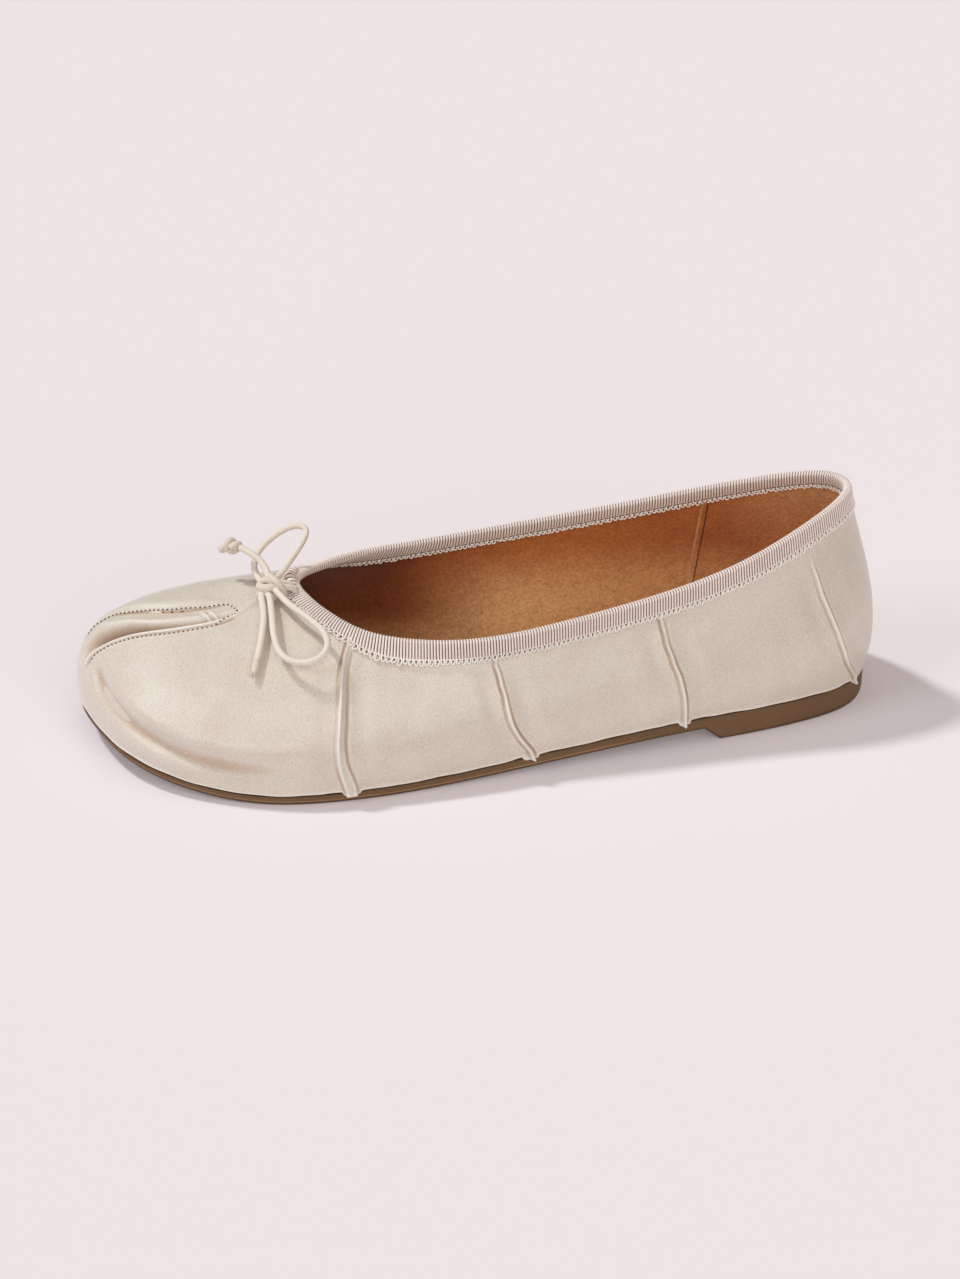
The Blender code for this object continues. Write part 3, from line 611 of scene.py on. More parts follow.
def unit(vectors):
    """Vectors scaled to length 1."""
    return vectors / np.linalg.norm(vectors, axis=-1, keepdims=True)


def distances(path):
    """Distance of each point of a path from its start."""
    return np.concatenate(([0.0], np.cumsum(norm(np.diff(path, axis=0)))))


def read_path(path, places, wanted):
    """Points of a path at wanted places, where places has the place of each of its own points."""
    return np.stack([np.interp(wanted, places, path[:, axis]) for axis in range(path.shape[1])], axis=-1)


def hermite(t, step, start, start_slope, end, end_slope):
    """Cubic from one value to the next with given slopes, t from 0 to 1."""
    from_start = start * (1 + 2 * t) * (1 - t) ** 2 + start_slope * step * t * (1 - t) ** 2
    to_end = end * t * t * (3 - 2 * t) + end_slope * step * t * t * (t - 1)
    return from_start + to_end


def closed_spline(knots, values):
    """Smooth closed curve with period 1 through values at knots; returns a function of u."""
    count = len(knots)
    steps = np.diff(np.append(knots, knots[0] + 1.0))
    system = np.zeros((count, count))
    right = np.zeros(values.shape)
    for i in range(count):
        before = steps[i - 1]
        after = steps[i]
        following = (i + 1) % count
        system[i, i - 1] += after
        system[i, i] += 2.0 * (before + after)
        system[i, following] += before
        slope_before = (values[i] - values[i - 1]) / before
        slope_after = (values[following] - values[i]) / after
        right[i] = 3.0 * (after * slope_before + before * slope_after)
    slopes = np.linalg.solve(system, right)

    def at(u):
        once = np.mod(np.asarray(u, float), 1.0)
        i = np.clip(np.searchsorted(knots, once, side="right") - 1, 0, count - 1)
        following = (i + 1) % count
        t = ((once - knots[i]) / steps[i])[..., None]
        return hermite(t, steps[i][..., None], values[i], slopes[i], values[following], slopes[following])

    return at


def smooth_table(table, wanted):
    """Columns of a table read smoothly at places in its first column, and held beyond its ends."""
    knots = np.array(table)[:, 0]
    values = np.array(table)[:, 1:]
    slopes = np.gradient(values, knots, axis=0)
    wanted = np.asarray(wanted, float)
    i = np.clip(np.searchsorted(knots, wanted, side="right") - 1, 0, len(knots) - 2)
    step = (knots[i + 1] - knots[i])[..., None]
    t = np.clip((wanted - knots[i])[..., None] / step, 0.0, 1.0)
    return hermite(t, step, values[i], slopes[i], values[i + 1], slopes[i + 1])


def columns_at(table, wanted):
    """The same, as one array for each column."""
    return np.moveaxis(smooth_table(table, wanted), -1, 0)


def section_curve():
    """The table of sections as one closed curve, with u by distance round the foot outline."""
    table = np.array([row[1:] for row in SECTIONS], float)
    foot = table[:, :2]
    knots = distances(np.concatenate([foot, foot[:1]]))
    return closed_spline(knots[:-1] / knots[-1], table)


SECTION_AT = section_curve()


def place(x, s, z):
    """Millimetres in the shoe's own terms to metres in the world, as one array."""
    return np.stack([x - MIDDLE_X, MIDDLE_S - s, z], axis=-1) * MM


def sole_thickness(s):
    """Thickness of the sole plate."""
    table = np.array(SOLE_THICKNESS)
    return np.interp(s, table[:, 0], table[:, 1])


def plate_bottom(s):
    """Underside of the sole plate without its heel: arch, flat tread and toe spring."""
    arch = HEEL_STEP * smooth_step((TREAD_REAR - s) / (TREAD_REAR - ARCH_START))
    spring = TOE_SPRING * np.clip((s - TREAD_FRONT) / (LENGTH - TREAD_FRONT), 0.0, None) ** 2
    return arch + spring


def sole_top(s):
    """Top of the sole plate."""
    return plate_bottom(s) + sole_thickness(s)


def sole_bottom(s):
    """Underside with the heel: flat to the heel front, then up the sloping breast to the plate."""
    breast = np.clip((s - HEEL_FRONT - GAP) / (BREAST_RUN - GAP), 0.0, 1.0)
    return plate_bottom(s) * breast


def edge_radius(s):
    """Radius of the lower edge, larger round the back of the heel."""
    return SOLE_EDGE_RADIUS + (HEEL_EDGE_RADIUS - SOLE_EDGE_RADIUS) * smooth_step(1.0 - s / HEEL_FRONT)


def foot_outline(u, inset=0.0):
    """Plan of the line where upper and sole meet, moved inwards by inset."""
    here = SECTION_AT(u)[..., :2]
    along = unit((SECTION_AT(np.asarray(u) + FINE_STEP) - SECTION_AT(np.asarray(u) - FINE_STEP))[..., :2])
    inward = np.stack([-along[..., 1], along[..., 0]], axis=-1)
    return here + inward * inset


def base_skin(u, v):
    """Outer face of the upper before the cleft, v from 0 at the sole to 1 at the collar."""
    u, v = np.broadcast_arrays(np.asarray(u, float), np.asarray(v, float))
    row = SECTION_AT(u)
    foot_x, foot_s, collar_x, collar_s, collar_z, bulge, rise, back, drop = np.moveaxis(row, -1, 0)
    out = foot_outline(u, -1.0) - row[..., :2]
    reach_x = foot_x - collar_x
    reach_s = foot_s - collar_s
    reach = np.hypot(reach_x, reach_s)
    foot_z = sole_top(foot_s) + GAP
    handles = (
        (foot_x, foot_s, foot_z),
        (foot_x + out[..., 0] * bulge, foot_s + out[..., 1] * bulge, foot_z + rise),
        (collar_x + reach_x / reach * back, collar_s + reach_s / reach * back, collar_z - drop),
        (collar_x, collar_s, collar_z),
    )
    weights = ((1 - v) ** 3, 3 * v * (1 - v) ** 2, 3 * v * v * (1 - v), v ** 3)
    return sum(weight[..., None] * np.stack(handle, axis=-1) for weight, handle in zip(weights, handles))


def skin_steps(u, v):
    """Small steps across and up the base skin."""
    across = base_skin(u + FINE_STEP, v) - base_skin(u - FINE_STEP, v)
    up = base_skin(u, v + FINE_STEP) - base_skin(u, v - FINE_STEP)
    return across, up


def skin_normal(u, v):
    """Outward unit normal of the base skin, in x, s and z."""
    return unit(np.cross(*skin_steps(u, v)))


def spans(u, v):
    """Millimetres of the base skin per unit of u and per unit of v."""
    across, up = skin_steps(u, v)
    return norm(across) / (2 * FINE_STEP), norm(up) / (2 * FINE_STEP)


def cleft_relief(u, v, across, up):
    """Height of the skin in and beside the cleft, against the base skin."""
    lip, depth, near, far, crest, crest_drop, band_drop, start = columns_at(CLEFT, v)
    depth = np.maximum(depth, 0.0)
    far = np.maximum(far, CLEFT_FAR_LEAST)
    d = (u - lip) * across
    wall = smooth_step((d - CLEFT_WALL_START) / (CLEFT_WALL_END - CLEFT_WALL_START))
    crest_at = np.maximum(crest * far, CLEFT_WALL_END + CREST_ROOM)
    climb = np.clip((d - CLEFT_WALL_END) / (crest_at - CLEFT_WALL_END), 0.0, 1.0)
    climbed = 1.0 - (1.0 - climb ** start) ** 2
    level = -depth * (1.0 - climbed * (1.0 - crest_drop))
    band_run = BAND_SHARE * (far - crest_at)
    level -= depth * (band_drop - crest_drop) * smooth_step((d - crest_at) / band_run)
    level += depth * band_drop * smooth_step((d - far) / LOBE_RISE)
    roll, roll_place, roll_width = LIP_ROLL
    beside = humps(d, (
        (roll, -roll_place * near, roll_width * near),
        (-NEAR_STITCH_DIP[0], -near, NEAR_STITCH_DIP[1]),
        (-FAR_STITCH_DIP[0], far, FAR_STITCH_DIP[1]),
        (LOBE[0], far + LOBE[1], LOBE[2]),
    ))
    pinch = PINCH_HEIGHT * sum(bell((v - at) * up / PINCH_WIDTH) for at in PINCHES)
    pinch = pinch * smooth_step((d - PINCH_START[0]) / PINCH_START[1])
    pinch = pinch * smooth_step((PINCH_END[0] * far - d) / PINCH_END[1])
    strength = np.clip(depth / CLEFT_FULL_DEPTH, 0.0, 1.0)
    return level * wall + strength * (beside + pinch)


def line_u(line, v):
    """u of a given line at each v."""
    return smooth_table(line, v)[..., 0]


def pucker_relief(u, v, across):
    """Small fold from the cleft's rear end towards the knot, with a hollow on each side."""
    d = (u - line_u(PUCKER, v)) * across
    depth, distance, width = PUCKER_HOLLOW
    profile = ((PUCKER_HEIGHT, 0.0, PUCKER_WIDTH), (-depth, distance, width), (-depth, -distance, width))
    return bell((v - PUCKER_MIDDLE) / PUCKER_REACH) * bells(d, profile)


def pleat_wave(pleat, v):
    """How far a pleat's line wavers from side to side."""
    shifts = (PLEAT_WAVE_SHIFT * pleat["line"][0][1], 0.0, 0.0)
    waves = [np.sin(rate * v + phase + shift) for (rate, phase), shift in zip(PLEAT_WAVES, shifts)]
    return pleat["wave"] * (waves[0] * waves[1] + PLEAT_LAST_WAVE * waves[2])


def pleat_relief(pleat, u, v, across):
    """Sharp ridge of one pleat, the flat band behind it, and a groove at each foot."""
    height, front, rear, front_groove, rear_groove, band, share = columns_at(pleat["ridge"], v)
    d = (u - line_u(pleat["line"], v)) * across - pleat_wave(pleat, v)
    ahead = 1.0 - smooth_step(d / front)
    behind = 1.0 - smooth_step((-d - band) / rear)
    slope = 1.0 - (1.0 - share) * np.clip(-d / band, 0.0, 1.0)
    waver = 1.0 + PLEAT_HEIGHT_WAVE[0] * pleat["wave"] * np.sin(PLEAT_HEIGHT_WAVE[1] * v)
    return height * waver * ahead * behind * slope + bells(d, (
        (-PLEAT_GROOVE * front_groove, front + GROOVE_GAP, GROOVE_FRONT),
        (-PLEAT_GROOVE * rear_groove, -(band + rear + GROOVE_GAP), GROOVE_REAR),
        (-PLEAT_PULL * height, PULL_FRONT[0], PULL_FRONT[1]),
        (-PLEAT_PULL * height, -(band + PULL_REAR[0]), PULL_REAR[1]),
    ))


def trough_relief(u, v, across, up):
    """Soft crease round the toe."""
    middle, ahead, behind = (line_u(TOE_TROUGH, u + step) for step in (0.0, TROUGH_STEP, -TROUGH_STEP))
    slope = (ahead - behind) / (2 * TROUGH_STEP) * up / across
    d = (v - middle) * up / np.sqrt(1.0 + slope * slope)
    fade_in = smooth_step((u - TROUGH_START[0]) / TROUGH_START[1])
    fade_out = smooth_step((TROUGH_END[0] - u) / TROUGH_END[1])
    width = np.where(d > 0.0, TROUGH_ABOVE, TROUGH_BELOW)
    return fade_in * fade_out * (humps(d, TROUGH_SWELL) + humps(d, ((-TROUGH_DEPTH, 0.0, width),)))


def seam_relief(u, v, across):
    """Puckered ridge of the medial seam."""
    d = (u - line_u(MEDIAL_SEAM, v)) * across
    share, slow, fast = SEAM_PUCKER
    pucker = 1.0 + share * np.sin(slow * v) * np.sin(fast * v)
    return SEAM_RIDGE[0] * pucker * bell(d / SEAM_RIDGE[1]) + bells(d, SEAM_GROOVES)


def sway(u, v):
    """Slight unevenness of the stretched satin."""
    a = u * SKIN_LENGTH
    b = v * SKIN_HEIGHT
    height, across, bent, up, bend, phase = SWAY_LONG
    waves = height * np.sin(a / across + bend * np.sin(b / bent)) * np.sin(b / up + phase)
    height, across, up, other, slant = SWAY_SHORT
    waves = waves + height * np.sin(a / across + slant * b) * np.sin(b / up - a / other)
    return waves * smooth_step(v / SWAY_LOW) * smooth_step((1.0 - v) / SWAY_TOP)


def relief(u, v):
    """Height of the satin's outer face over the base skin."""
    across, up = spans(u, v)
    height = cleft_relief(u, v, across, up) + trough_relief(u, v, across, up)
    height += seam_relief(u, v, across) + pucker_relief(u, v, across)
    height += sway(u, v) + humps(v * up, EDGE_ROLL)
    for pleat in PLEATS:
        height += pleat_relief(pleat, u, v, across)
    return height * smooth_step((1.0 - v) * up / BINDING_COVER)


def tongue(u):
    """How far the satin's lower edge hangs over the sole at the foot of each pleat."""
    across = spans(u, 0.0)[0]
    wave, slow, fast = EDGE_WAVE
    depth = wave * np.sin(u * slow) * np.sin(u * fast)
    for pleat in PLEATS:
        d = np.abs((u - line_u(pleat["line"], 0.0)) * across - pleat["tongue_at"])
        depth = depth + TONGUE_DEPTH * smooth_step((0.5 * pleat["tongue"] - d) / TONGUE_SIDE + 0.5)
    return depth


def satin_face(u, v, lift=0.0):
    """Points of the satin's outer face."""
    u, v = np.broadcast_arrays(np.asarray(u, float), np.asarray(v, float))
    up = spans(u, v)[1]
    hang = tongue(u) * bell(np.clip(v * up / TONGUE_REACH, 0.0, 1.0))
    outward = relief(u, v) + TONGUE_LIFT * hang + lift
    point = base_skin(u, v) + skin_normal(u, v) * outward[..., None]
    point[..., 2] -= hang
    return point


def fold_room(u, v):
    """How much deeper the hidden layers lie under the cleft and the toe crease."""
    across, up = spans(u, v)
    lip, depth, _, far = columns_at(CLEFT, v)[:4]
    d = (u - lip) * across
    ahead = smooth_step((d + FOLD_AHEAD[0]) / FOLD_AHEAD[1])
    behind = smooth_step((far + FOLD_BEHIND[0] - d) / (FOLD_BEHIND[1] * far + FOLD_BEHIND[0]))
    crease = np.maximum(-trough_relief(u, v, across, up), 0.0)
    return FOLD_DEPTH * np.maximum(depth, 0.0) * ahead * behind + crease


def layer_face(u, v, depth):
    """Points of a hidden face, a given depth below the base skin."""
    u, v = np.broadcast_arrays(np.asarray(u, float), np.asarray(v, float))
    return base_skin(u, v) - skin_normal(u, v) * (depth + fold_room(u, v))[..., None]


def spaced(count, density, closed=True):
    """Values from 0 to 1, closer together where density is higher."""
    fine = np.linspace(0.0, 1.0, FINE_COUNT)
    total = np.concatenate(([0.0], np.cumsum(density(fine[:-1] + 0.5 * fine[1]))))
    wanted = np.arange(count) / (count if closed else count - 1)
    return np.interp(wanted, total / total[-1], fine)


def lean_lines():
    """Lines that mesh columns follow: line, its own place, and how far round it reaches."""
    cleft_line = tuple(row[:2] for row in CLEFT)
    lines = [(cleft_line, CLEFT_PLACE, CLEFT_LEAN_WIDTH)]
    for pleat in PLEATS:
        lines.append((pleat["line"], pleat["line"][2][1], PLEAT_LEAN_WIDTH))
    lines.append((MEDIAL_SEAM, MEDIAL_SEAM[1][1], MEDIAL_SEAM_LEAN))
    return lines


LEAN_LINES = lean_lines()


def lean(u, v):
    """Shift columns so that they run along the cleft, the pleats and the seam."""
    shifted = u + np.zeros_like(v)
    for line, own, width in LEAN_LINES:
        near = np.exp(-(((u - own) / width) ** 2))
        straight = smooth_step((1.0 - v) / LEAN_STRAIGHT) if own == CLEFT_PLACE else 1.0
        shifted = shifted + (line_u(line, v) - own) * near * straight
    return shifted


def satin_columns(u):
    """Density of the satin's columns."""
    density = COLUMNS_BASE + humps(np.minimum(u, 1.0 - u), COLUMNS_HEEL)
    density = density + humps(u - CLEFT_PLACE, COLUMNS_CLEFT)
    return density + humps(u, [(COLUMNS_LINE, own, COLUMNS_LINE_WIDTH) for _, own, _ in LEAN_LINES[1:]])


def satin_rows(v):
    """Density of the satin's rows."""
    return 1.0 + humps(v, ROWS_CROWD)


def grid_faces(rows, columns, close_rows=False):
    """Quads of a grid that closes round its columns, as an array of point numbers."""
    row = np.arange(rows if close_rows else rows - 1)[:, None]
    column = np.arange(columns)[None, :]
    above = (row + 1) % rows
    after = (column + 1) % columns
    corners = ((row, column), (above, column), (above, after), (row, after))
    return np.stack([y * columns + x for y, x in corners], axis=-1).reshape(-1, 4)


def grid_uv(across, up):
    """UV of each corner of a grid's quads, from one more value than there are steps each way."""
    columns = len(across) - 1
    rows = len(up) - 1
    left = np.broadcast_to(across[:-1][None, :], (rows, columns))
    right = np.broadcast_to(across[1:][None, :], (rows, columns))
    low = np.broadcast_to(up[:-1][:, None], (rows, columns))
    high = np.broadcast_to(up[1:][:, None], (rows, columns))
    corners = ((left, low), (left, high), (right, high), (right, low))
    return np.stack([np.stack(corner, axis=-1) for corner in corners], axis=2).reshape(-1, 2)


def add_object(name, data):
    """New object in the scene."""
    made = bpy.data.objects.new(name, data)
    bpy.context.scene.collection.objects.link(made)
    return made


def add_piece(name, points, faces, material, nodes=(), uv=None, values=None, sharp=None):
    """Mesh piece from points in the shoe's millimetres, riding on the shoe's only body."""
    world = place(*np.asarray(points, float).reshape(-1, 3).T)
    mesh = bpy.data.meshes.new(name)
    mesh.from_pydata(world.tolist(), [], faces.tolist() if hasattr(faces, "tolist") else faces)
    mesh.shade_smooth()
    if sharp is not None:
        mesh.set_sharp_from_angle(angle=math.radians(sharp))
    if uv is not None:
        layer = mesh.uv_layers.new(name="mm")
        layer.data.foreach_set("uv", np.asarray(uv, np.float32).ravel())
    for key, numbers in (values or {}).items():
        attribute = mesh.attributes.new(key, "FLOAT", "POINT")
        attribute.data.foreach_set("value", np.asarray(numbers, np.float32).ravel())
    mesh.materials.append(material)
    piece = add_object(name, mesh)
    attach(piece, "root")
    if nodes:
        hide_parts(*nodes)
    return piece


class Heap:
    """Points and faces of many small closed bodies that become one mesh."""

    def __init__(self):
        self.points = []
        self.faces = []
        self.count = 0

    def add(self, points, faces):
        """Add one closed body."""
        self.points.append(points)
        self.faces.extend([[self.count + corner for corner in face] for face in faces])
        self.count += len(points)

    def piece(self, name, material, slot, nodes=()):
        """Make the mesh piece."""
        return add_piece(name, np.concatenate(self.points), self.faces, material, nodes)


def frames_along(path):
    """Directions of a path and two sideways directions that do not twist."""
    ahead = unit(np.gradient(path, axis=0))
    side = np.cross(ahead[0], (0.0, 0.0, 1.0))
    if norm(side) < UPRIGHT:
        side = np.cross(ahead[0], (1.0, 0.0, 0.0))
    sides = []
    for direction in ahead:
        side = unit(side - direction * np.dot(side, direction))
        sides.append(side)
    sides = np.array(sides)
    return ahead, sides, np.cross(ahead, sides)


def tube(path, radius, sides=10):
    """Points and faces of a closed tube along a path; radius may change along it."""
    path = np.asarray(path, float)
    radius = np.broadcast_to(np.asarray(radius, float), (len(path),))
    ahead, first, second = frames_along(path)
    turn = (np.arange(sides) * 2.0 * math.pi / sides)[None, :, None]
    ring = np.cos(turn) * first[:, None, :] + np.sin(turn) * second[:, None, :]
    points = path[:, None, :] + ring * radius[:, None, None]
    faces = grid_faces(len(path), sides).tolist()
    last = (len(path) - 1) * sides
    faces.append(list(range(sides)))
    faces.append([last + i for i in reversed(range(sides))])
    return points.reshape(-1, 3), faces


def bead(centre, axes, radii, around=8, rings=5):
    """A small ellipsoid with its own three directions."""
    rise = np.linspace(0.0, math.pi, rings + 2)[1:-1]
    turn = np.arange(around) * 2.0 * math.pi / around
    points = [np.array([1.0, 0.0, 0.0])]
    for angle in rise:
        for side in turn:
            points.append(np.array([
                math.cos(angle),
                math.sin(angle) * math.cos(side),
                math.sin(angle) * math.sin(side),
            ]))
    points.append(np.array([-1.0, 0.0, 0.0]))
    points = np.array(points) * np.array(radii)
    faces = []
    end = len(points) - 1
    last = 1 + (rings - 1) * around
    for i in range(around):
        after = (i + 1) % around
        faces.append([0, 1 + after, 1 + i])
        faces.append([last + i, last + after, end])
        for ring in range(rings - 1):
            low = 1 + ring * around
            faces.append([low + i, low + after, low + around + after, low + around + i])
    return np.asarray(centre) + points @ np.asarray(axes), faces


def smooth_route(points, spacing):
    """Points at an even spacing on a smooth open curve through given points."""
    points = np.array(points, float)
    before = 2 * points[0] - points[1]
    after = 2 * points[-1] - points[-2]
    padded = np.vstack([before, points, after])
    fine = []
    for p0, p1, p2, p3 in zip(padded, padded[1:], padded[2:], padded[3:]):
        for t in np.linspace(0.0, 1.0, CURVE_PARTS, endpoint=False):
            fine.append(0.5 * (2 * p1 + (p2 - p0) * t + (2 * p0 - 5 * p1 + 4 * p2 - p3) * t * t
                               + (3 * p1 - p0 - 3 * p2 + p3) * t ** 3))
    fine.append(points[-1])
    return even_points(np.array(fine), spacing)


def even_points(path, spacing):
    """Points at an even spacing along a fine path."""
    length = distances(path)
    count = max(3, int(round(length[-1] / spacing)) + 1)
    return read_path(path, length, np.linspace(0.0, length[-1], count))


class Look:
    """Short calls that build one material's node tree."""

    def __init__(self, name, roughness, **constants):
        self.material = bpy.data.materials.new(name)
        self.material.use_nodes = True
        self.tree = self.material.node_tree
        self.shader = self.tree.nodes["Principled BSDF"]
        self.shader.inputs["Roughness"].default_value = roughness
        for key, value in constants.items():
            self.shader.inputs[key.replace("_", " ")].default_value = value

    def node(self, kind, **inputs):
        """Add a node and set its inputs by name."""
        made = self.tree.nodes.new(kind)
        for key, value in inputs.items():
            made.inputs[key].default_value = value
        return made

    def link(self, source, target):
        """Join an output to an input."""
        self.tree.links.new(source, target)

    def scaled(self, coordinates, scale):
        """Coordinates multiplied by a scale."""
        mapping = self.node("ShaderNodeMapping", Scale=scale)
        self.link(coordinates, mapping.inputs["Vector"])
        return mapping.outputs["Vector"]

    def noise(self, scale, detail=2.0, rough=0.5):
        """Noise from 0 to 1; scale is in waves a millimetre, as one number or one for each axis."""
        made = self.node("ShaderNodeTexNoise", Scale=1.0, Detail=detail, Roughness=rough)
        source = self.node("ShaderNodeTexCoord")
        scale = [1.0 / MM * value for value in (scale if isinstance(scale, tuple) else (scale,) * 3)]
        self.link(self.scaled(source.outputs["Object"], scale), made.inputs["Vector"])
        return made.outputs["Fac"]

    def bands(self, scale):
        """Even slanting sine bands over the UV layer, which is in millimetres."""
        made = self.node("ShaderNodeTexWave", Scale=1.0)
        made.wave_type = "BANDS"
        made.bands_direction = "DIAGONAL"
        source = self.node("ShaderNodeUVMap")
        source.uv_map = "mm"
        self.link(self.scaled(source.outputs["UV"], scale), made.inputs["Vector"])
        return made.outputs["Fac"]

    def attribute(self, name):
        """A number stored on the mesh's points."""
        made = self.node("ShaderNodeAttribute")
        made.attribute_name = name
        return made.outputs["Fac"]

    def ramp(self, factor, *stops):
        """Colour ramp from (place, colour) stops."""
        made = self.node("ShaderNodeValToRGB")
        points = made.color_ramp.elements
        while len(points) < len(stops):
            points.new(0.5)
        for point, (at, colour) in zip(points, stops):
            point.position = at
            point.color = (*colour, 1.0)
        self.link(factor, made.inputs["Fac"])
        return made.outputs["Color"]

    def mix(self, kind, first, share):
        """A colour mix of one kind, with its first colour and its share joined or set."""
        made = self.tree.nodes.new("ShaderNodeMix")
        made.data_type = "RGBA"
        made.blend_type = kind
        self.link(first, made.inputs["A"])
        if isinstance(share, float):
            made.inputs["Factor"].default_value = share
        else:
            self.link(share, made.inputs["Factor"])
        return made

    def multiply(self, first, second, share=1.0):
        """One colour multiplied by another, by a share."""
        made = self.mix("MULTIPLY", first, share)
        self.link(second, made.inputs["B"])
        return made.outputs["Result"]

    def blend(self, colour, other, share):
        """A colour mixed towards a fixed one by a share from another output."""
        made = self.mix("MIX", colour, share)
        made.inputs["B"].default_value = (*other, 1.0)
        return made.outputs["Result"]

    def shade(self, colour, factor, low, dark, high, share):
        """A colour darkened where a factor is low."""
        return self.multiply(colour, self.ramp(factor, (low, dark), (high, WHITE)), share)

    def span(self, factor, low, high):
        """A number from 0 to 1 spread between two others."""
        made = self.tree.nodes.new("ShaderNodeMapRange")
        made.inputs["To Min"].default_value = low
        made.inputs["To Max"].default_value = high
        self.link(factor, made.inputs["Value"])
        return made.outputs["Result"]

    def bump(self, height, depth, strength=1.0, under=None):
        """Bump of a given depth in millimetres, over another one."""
        made = self.node("ShaderNodeBump", Strength=strength, Distance=depth * MM)
        self.link(height, made.inputs["Height"])
        if under is not None:
            self.link(under, made.inputs["Normal"])
        return made.outputs["Normal"]

    def finish(self, colour, normal, rough=None):
        """Join colour, bump and roughness to the shader."""
        self.link(colour, self.shader.inputs["Base Color"])
        self.link(normal, self.shader.inputs["Normal"])
        if rough is not None:
            self.link(rough, self.shader.inputs["Roughness"])
        return self.material


def satin_look():
    """Ivory satin: soft pearly lustre, the fine speckled grain of its floating threads, painted shade in its
    creases and painted highlight on its ridges.
    """
    look = Look("satin", 0.42, Specular_IOR_Level=0.9, Sheen_Weight=0.15, Sheen_Roughness=0.4,
                Coat_Weight=0.46, Coat_Roughness=0.24)
    threads = look.noise(2.1, 3.0, 0.65)
    grain = look.noise(0.9)
    colour = look.ramp(
        look.noise(0.09),
        (0.30, (0.740, 0.645, 0.575)),
        (0.50, (0.750, 0.682, 0.600)),
        (0.70, (0.785, 0.705, 0.645)),
    )
    colour = look.shade(colour, threads, 0.34, (0.77, 0.74, 0.71), 0.60, 0.8)
    # Painted shade: the satin darkened towards brown where it creases, hollows or lies deep
    crease = look.attribute("crease")
    fold = look.ramp(crease, (0.0, WHITE), (0.35, (0.83, 0.70, 0.60)), (1.0, (0.44, 0.28, 0.18)))
    colour = look.multiply(colour, fold)
    # Painted highlight: the satin lightened towards pale cream on its ridges and along its lower edge
    colour = look.blend(colour, (0.93, 0.885, 0.835), look.span(look.attribute("ridge"), 0.0, 0.85))
    normal = look.bump(grain, 0.07, 0.6, look.bump(threads, 0.11, 1.0))
    return look.finish(colour, normal, look.span(threads, 0.30, 0.46))


def ribbon_look():
    """Ribbed ribbon: pale pink ribs, with painted shade darkening the thin grooves between them."""
    look = Look("ribbon", 0.60, Sheen_Weight=0.3, Sheen_Roughness=0.5)
    threads = look.noise(2.6, 3.0)
    # Painted shade: the grooves between the ribs darkened nearly to black
    colour = look.ramp(
        look.attribute("groove_shade"),
        (0.0, (0.08, 0.038, 0.032)),
        (0.48, (0.34, 0.21, 0.18)),
        (0.72, (0.90, 0.765, 0.720)),
        (1.0, (0.97, 0.88, 0.85)),
    )
    colour = look.shade(colour, threads, 0.30, (0.80, 0.77, 0.76), 0.65, 0.9)
    return look.finish(colour, look.bump(threads, 0.09, 0.8))


def thread_look(name, low, high):
    """Spun thread."""
    look = Look(name, 0.65, Sheen_Weight=0.2)
    strands = look.noise(4.0)
    return look.finish(look.ramp(strands, (0.30, low), (0.70, high)), look.bump(strands, 0.06, 0.8))


def suede_look(name, low, high, pale_tone, depth):
    """Suede: softly clouded colour, paler by a stored share that is painted light on the lining, darker by
    painted shade, and a short nap with darker flecks.
    """
    look = Look(name, 0.86, Sheen_Weight=0.25, Sheen_Roughness=0.5, Specular_IOR_Level=0.3)
    brushed = look.noise((0.32, 0.22, 0.32), 4.0, 0.65)
    nap = look.noise((1.3, 1.0, 1.3), 4.0, 0.75)
    colour = look.ramp(look.noise(0.035), (0.30, low), (0.70, high))
    # Paler by the stored share: painted light on the lining's lower part and round its heel, a painted
    # highlight on its tape's edge, and on the insole paler towards its heel and toe
    colour = look.blend(colour, pale_tone, look.attribute("pale_tone"))
    colour = look.shade(colour, brushed, 0.30, (0.80, 0.75, 0.70), 0.68, 0.8)
    colour = look.shade(colour, nap, 0.32, (0.58, 0.50, 0.43), 0.60, 0.9)
    # Painted shade: the suede darkened under the vamp and along the lining tape's stitched groove
    painted_shade = look.ramp(look.attribute("painted_shade"), (0.0, WHITE), (1.0, (0.41, 0.28, 0.165)))
    colour = look.multiply(colour, painted_shade)
    normal = look.bump(nap, depth, 0.9, look.bump(brushed, 0.10, 0.4))
    return look.finish(colour, normal, look.span(nap, 0.78, 0.95))


def rubber_look():
    """Moulded brown sole, faintly marked by its mould, with a thin paler line above its lower edge and
    painted shade on its underside, rounded lower edge and under the upper.
    """
    look = Look("rubber", 0.60, Specular_IOR_Level=0.28)
    fine = look.noise(2.2, 3.0)
    cloud = look.noise((0.05, 0.05, 0.12))
    colour = look.ramp(cloud, (0.30, (0.490, 0.290, 0.150)), (0.70, (0.560, 0.338, 0.180)))
    colour = look.shade(colour, fine, 0.30, (0.80, 0.78, 0.76), 0.70, 0.8)
    # The wall's own brown, with painted shade on the underside, the rounded lower edge and under the upper
    tone_and_painted_shade = ((0.0, (0.09, 0.075, 0.065)), (0.3, (0.36, 0.335, 0.305)), (1.0, WHITE))
    colour = look.multiply(colour, look.ramp(look.attribute("edge"), *tone_and_painted_shade))
    return look.finish(colour, look.bump(fine, 0.06, 0.7), look.span(fine, 0.52, 0.68))


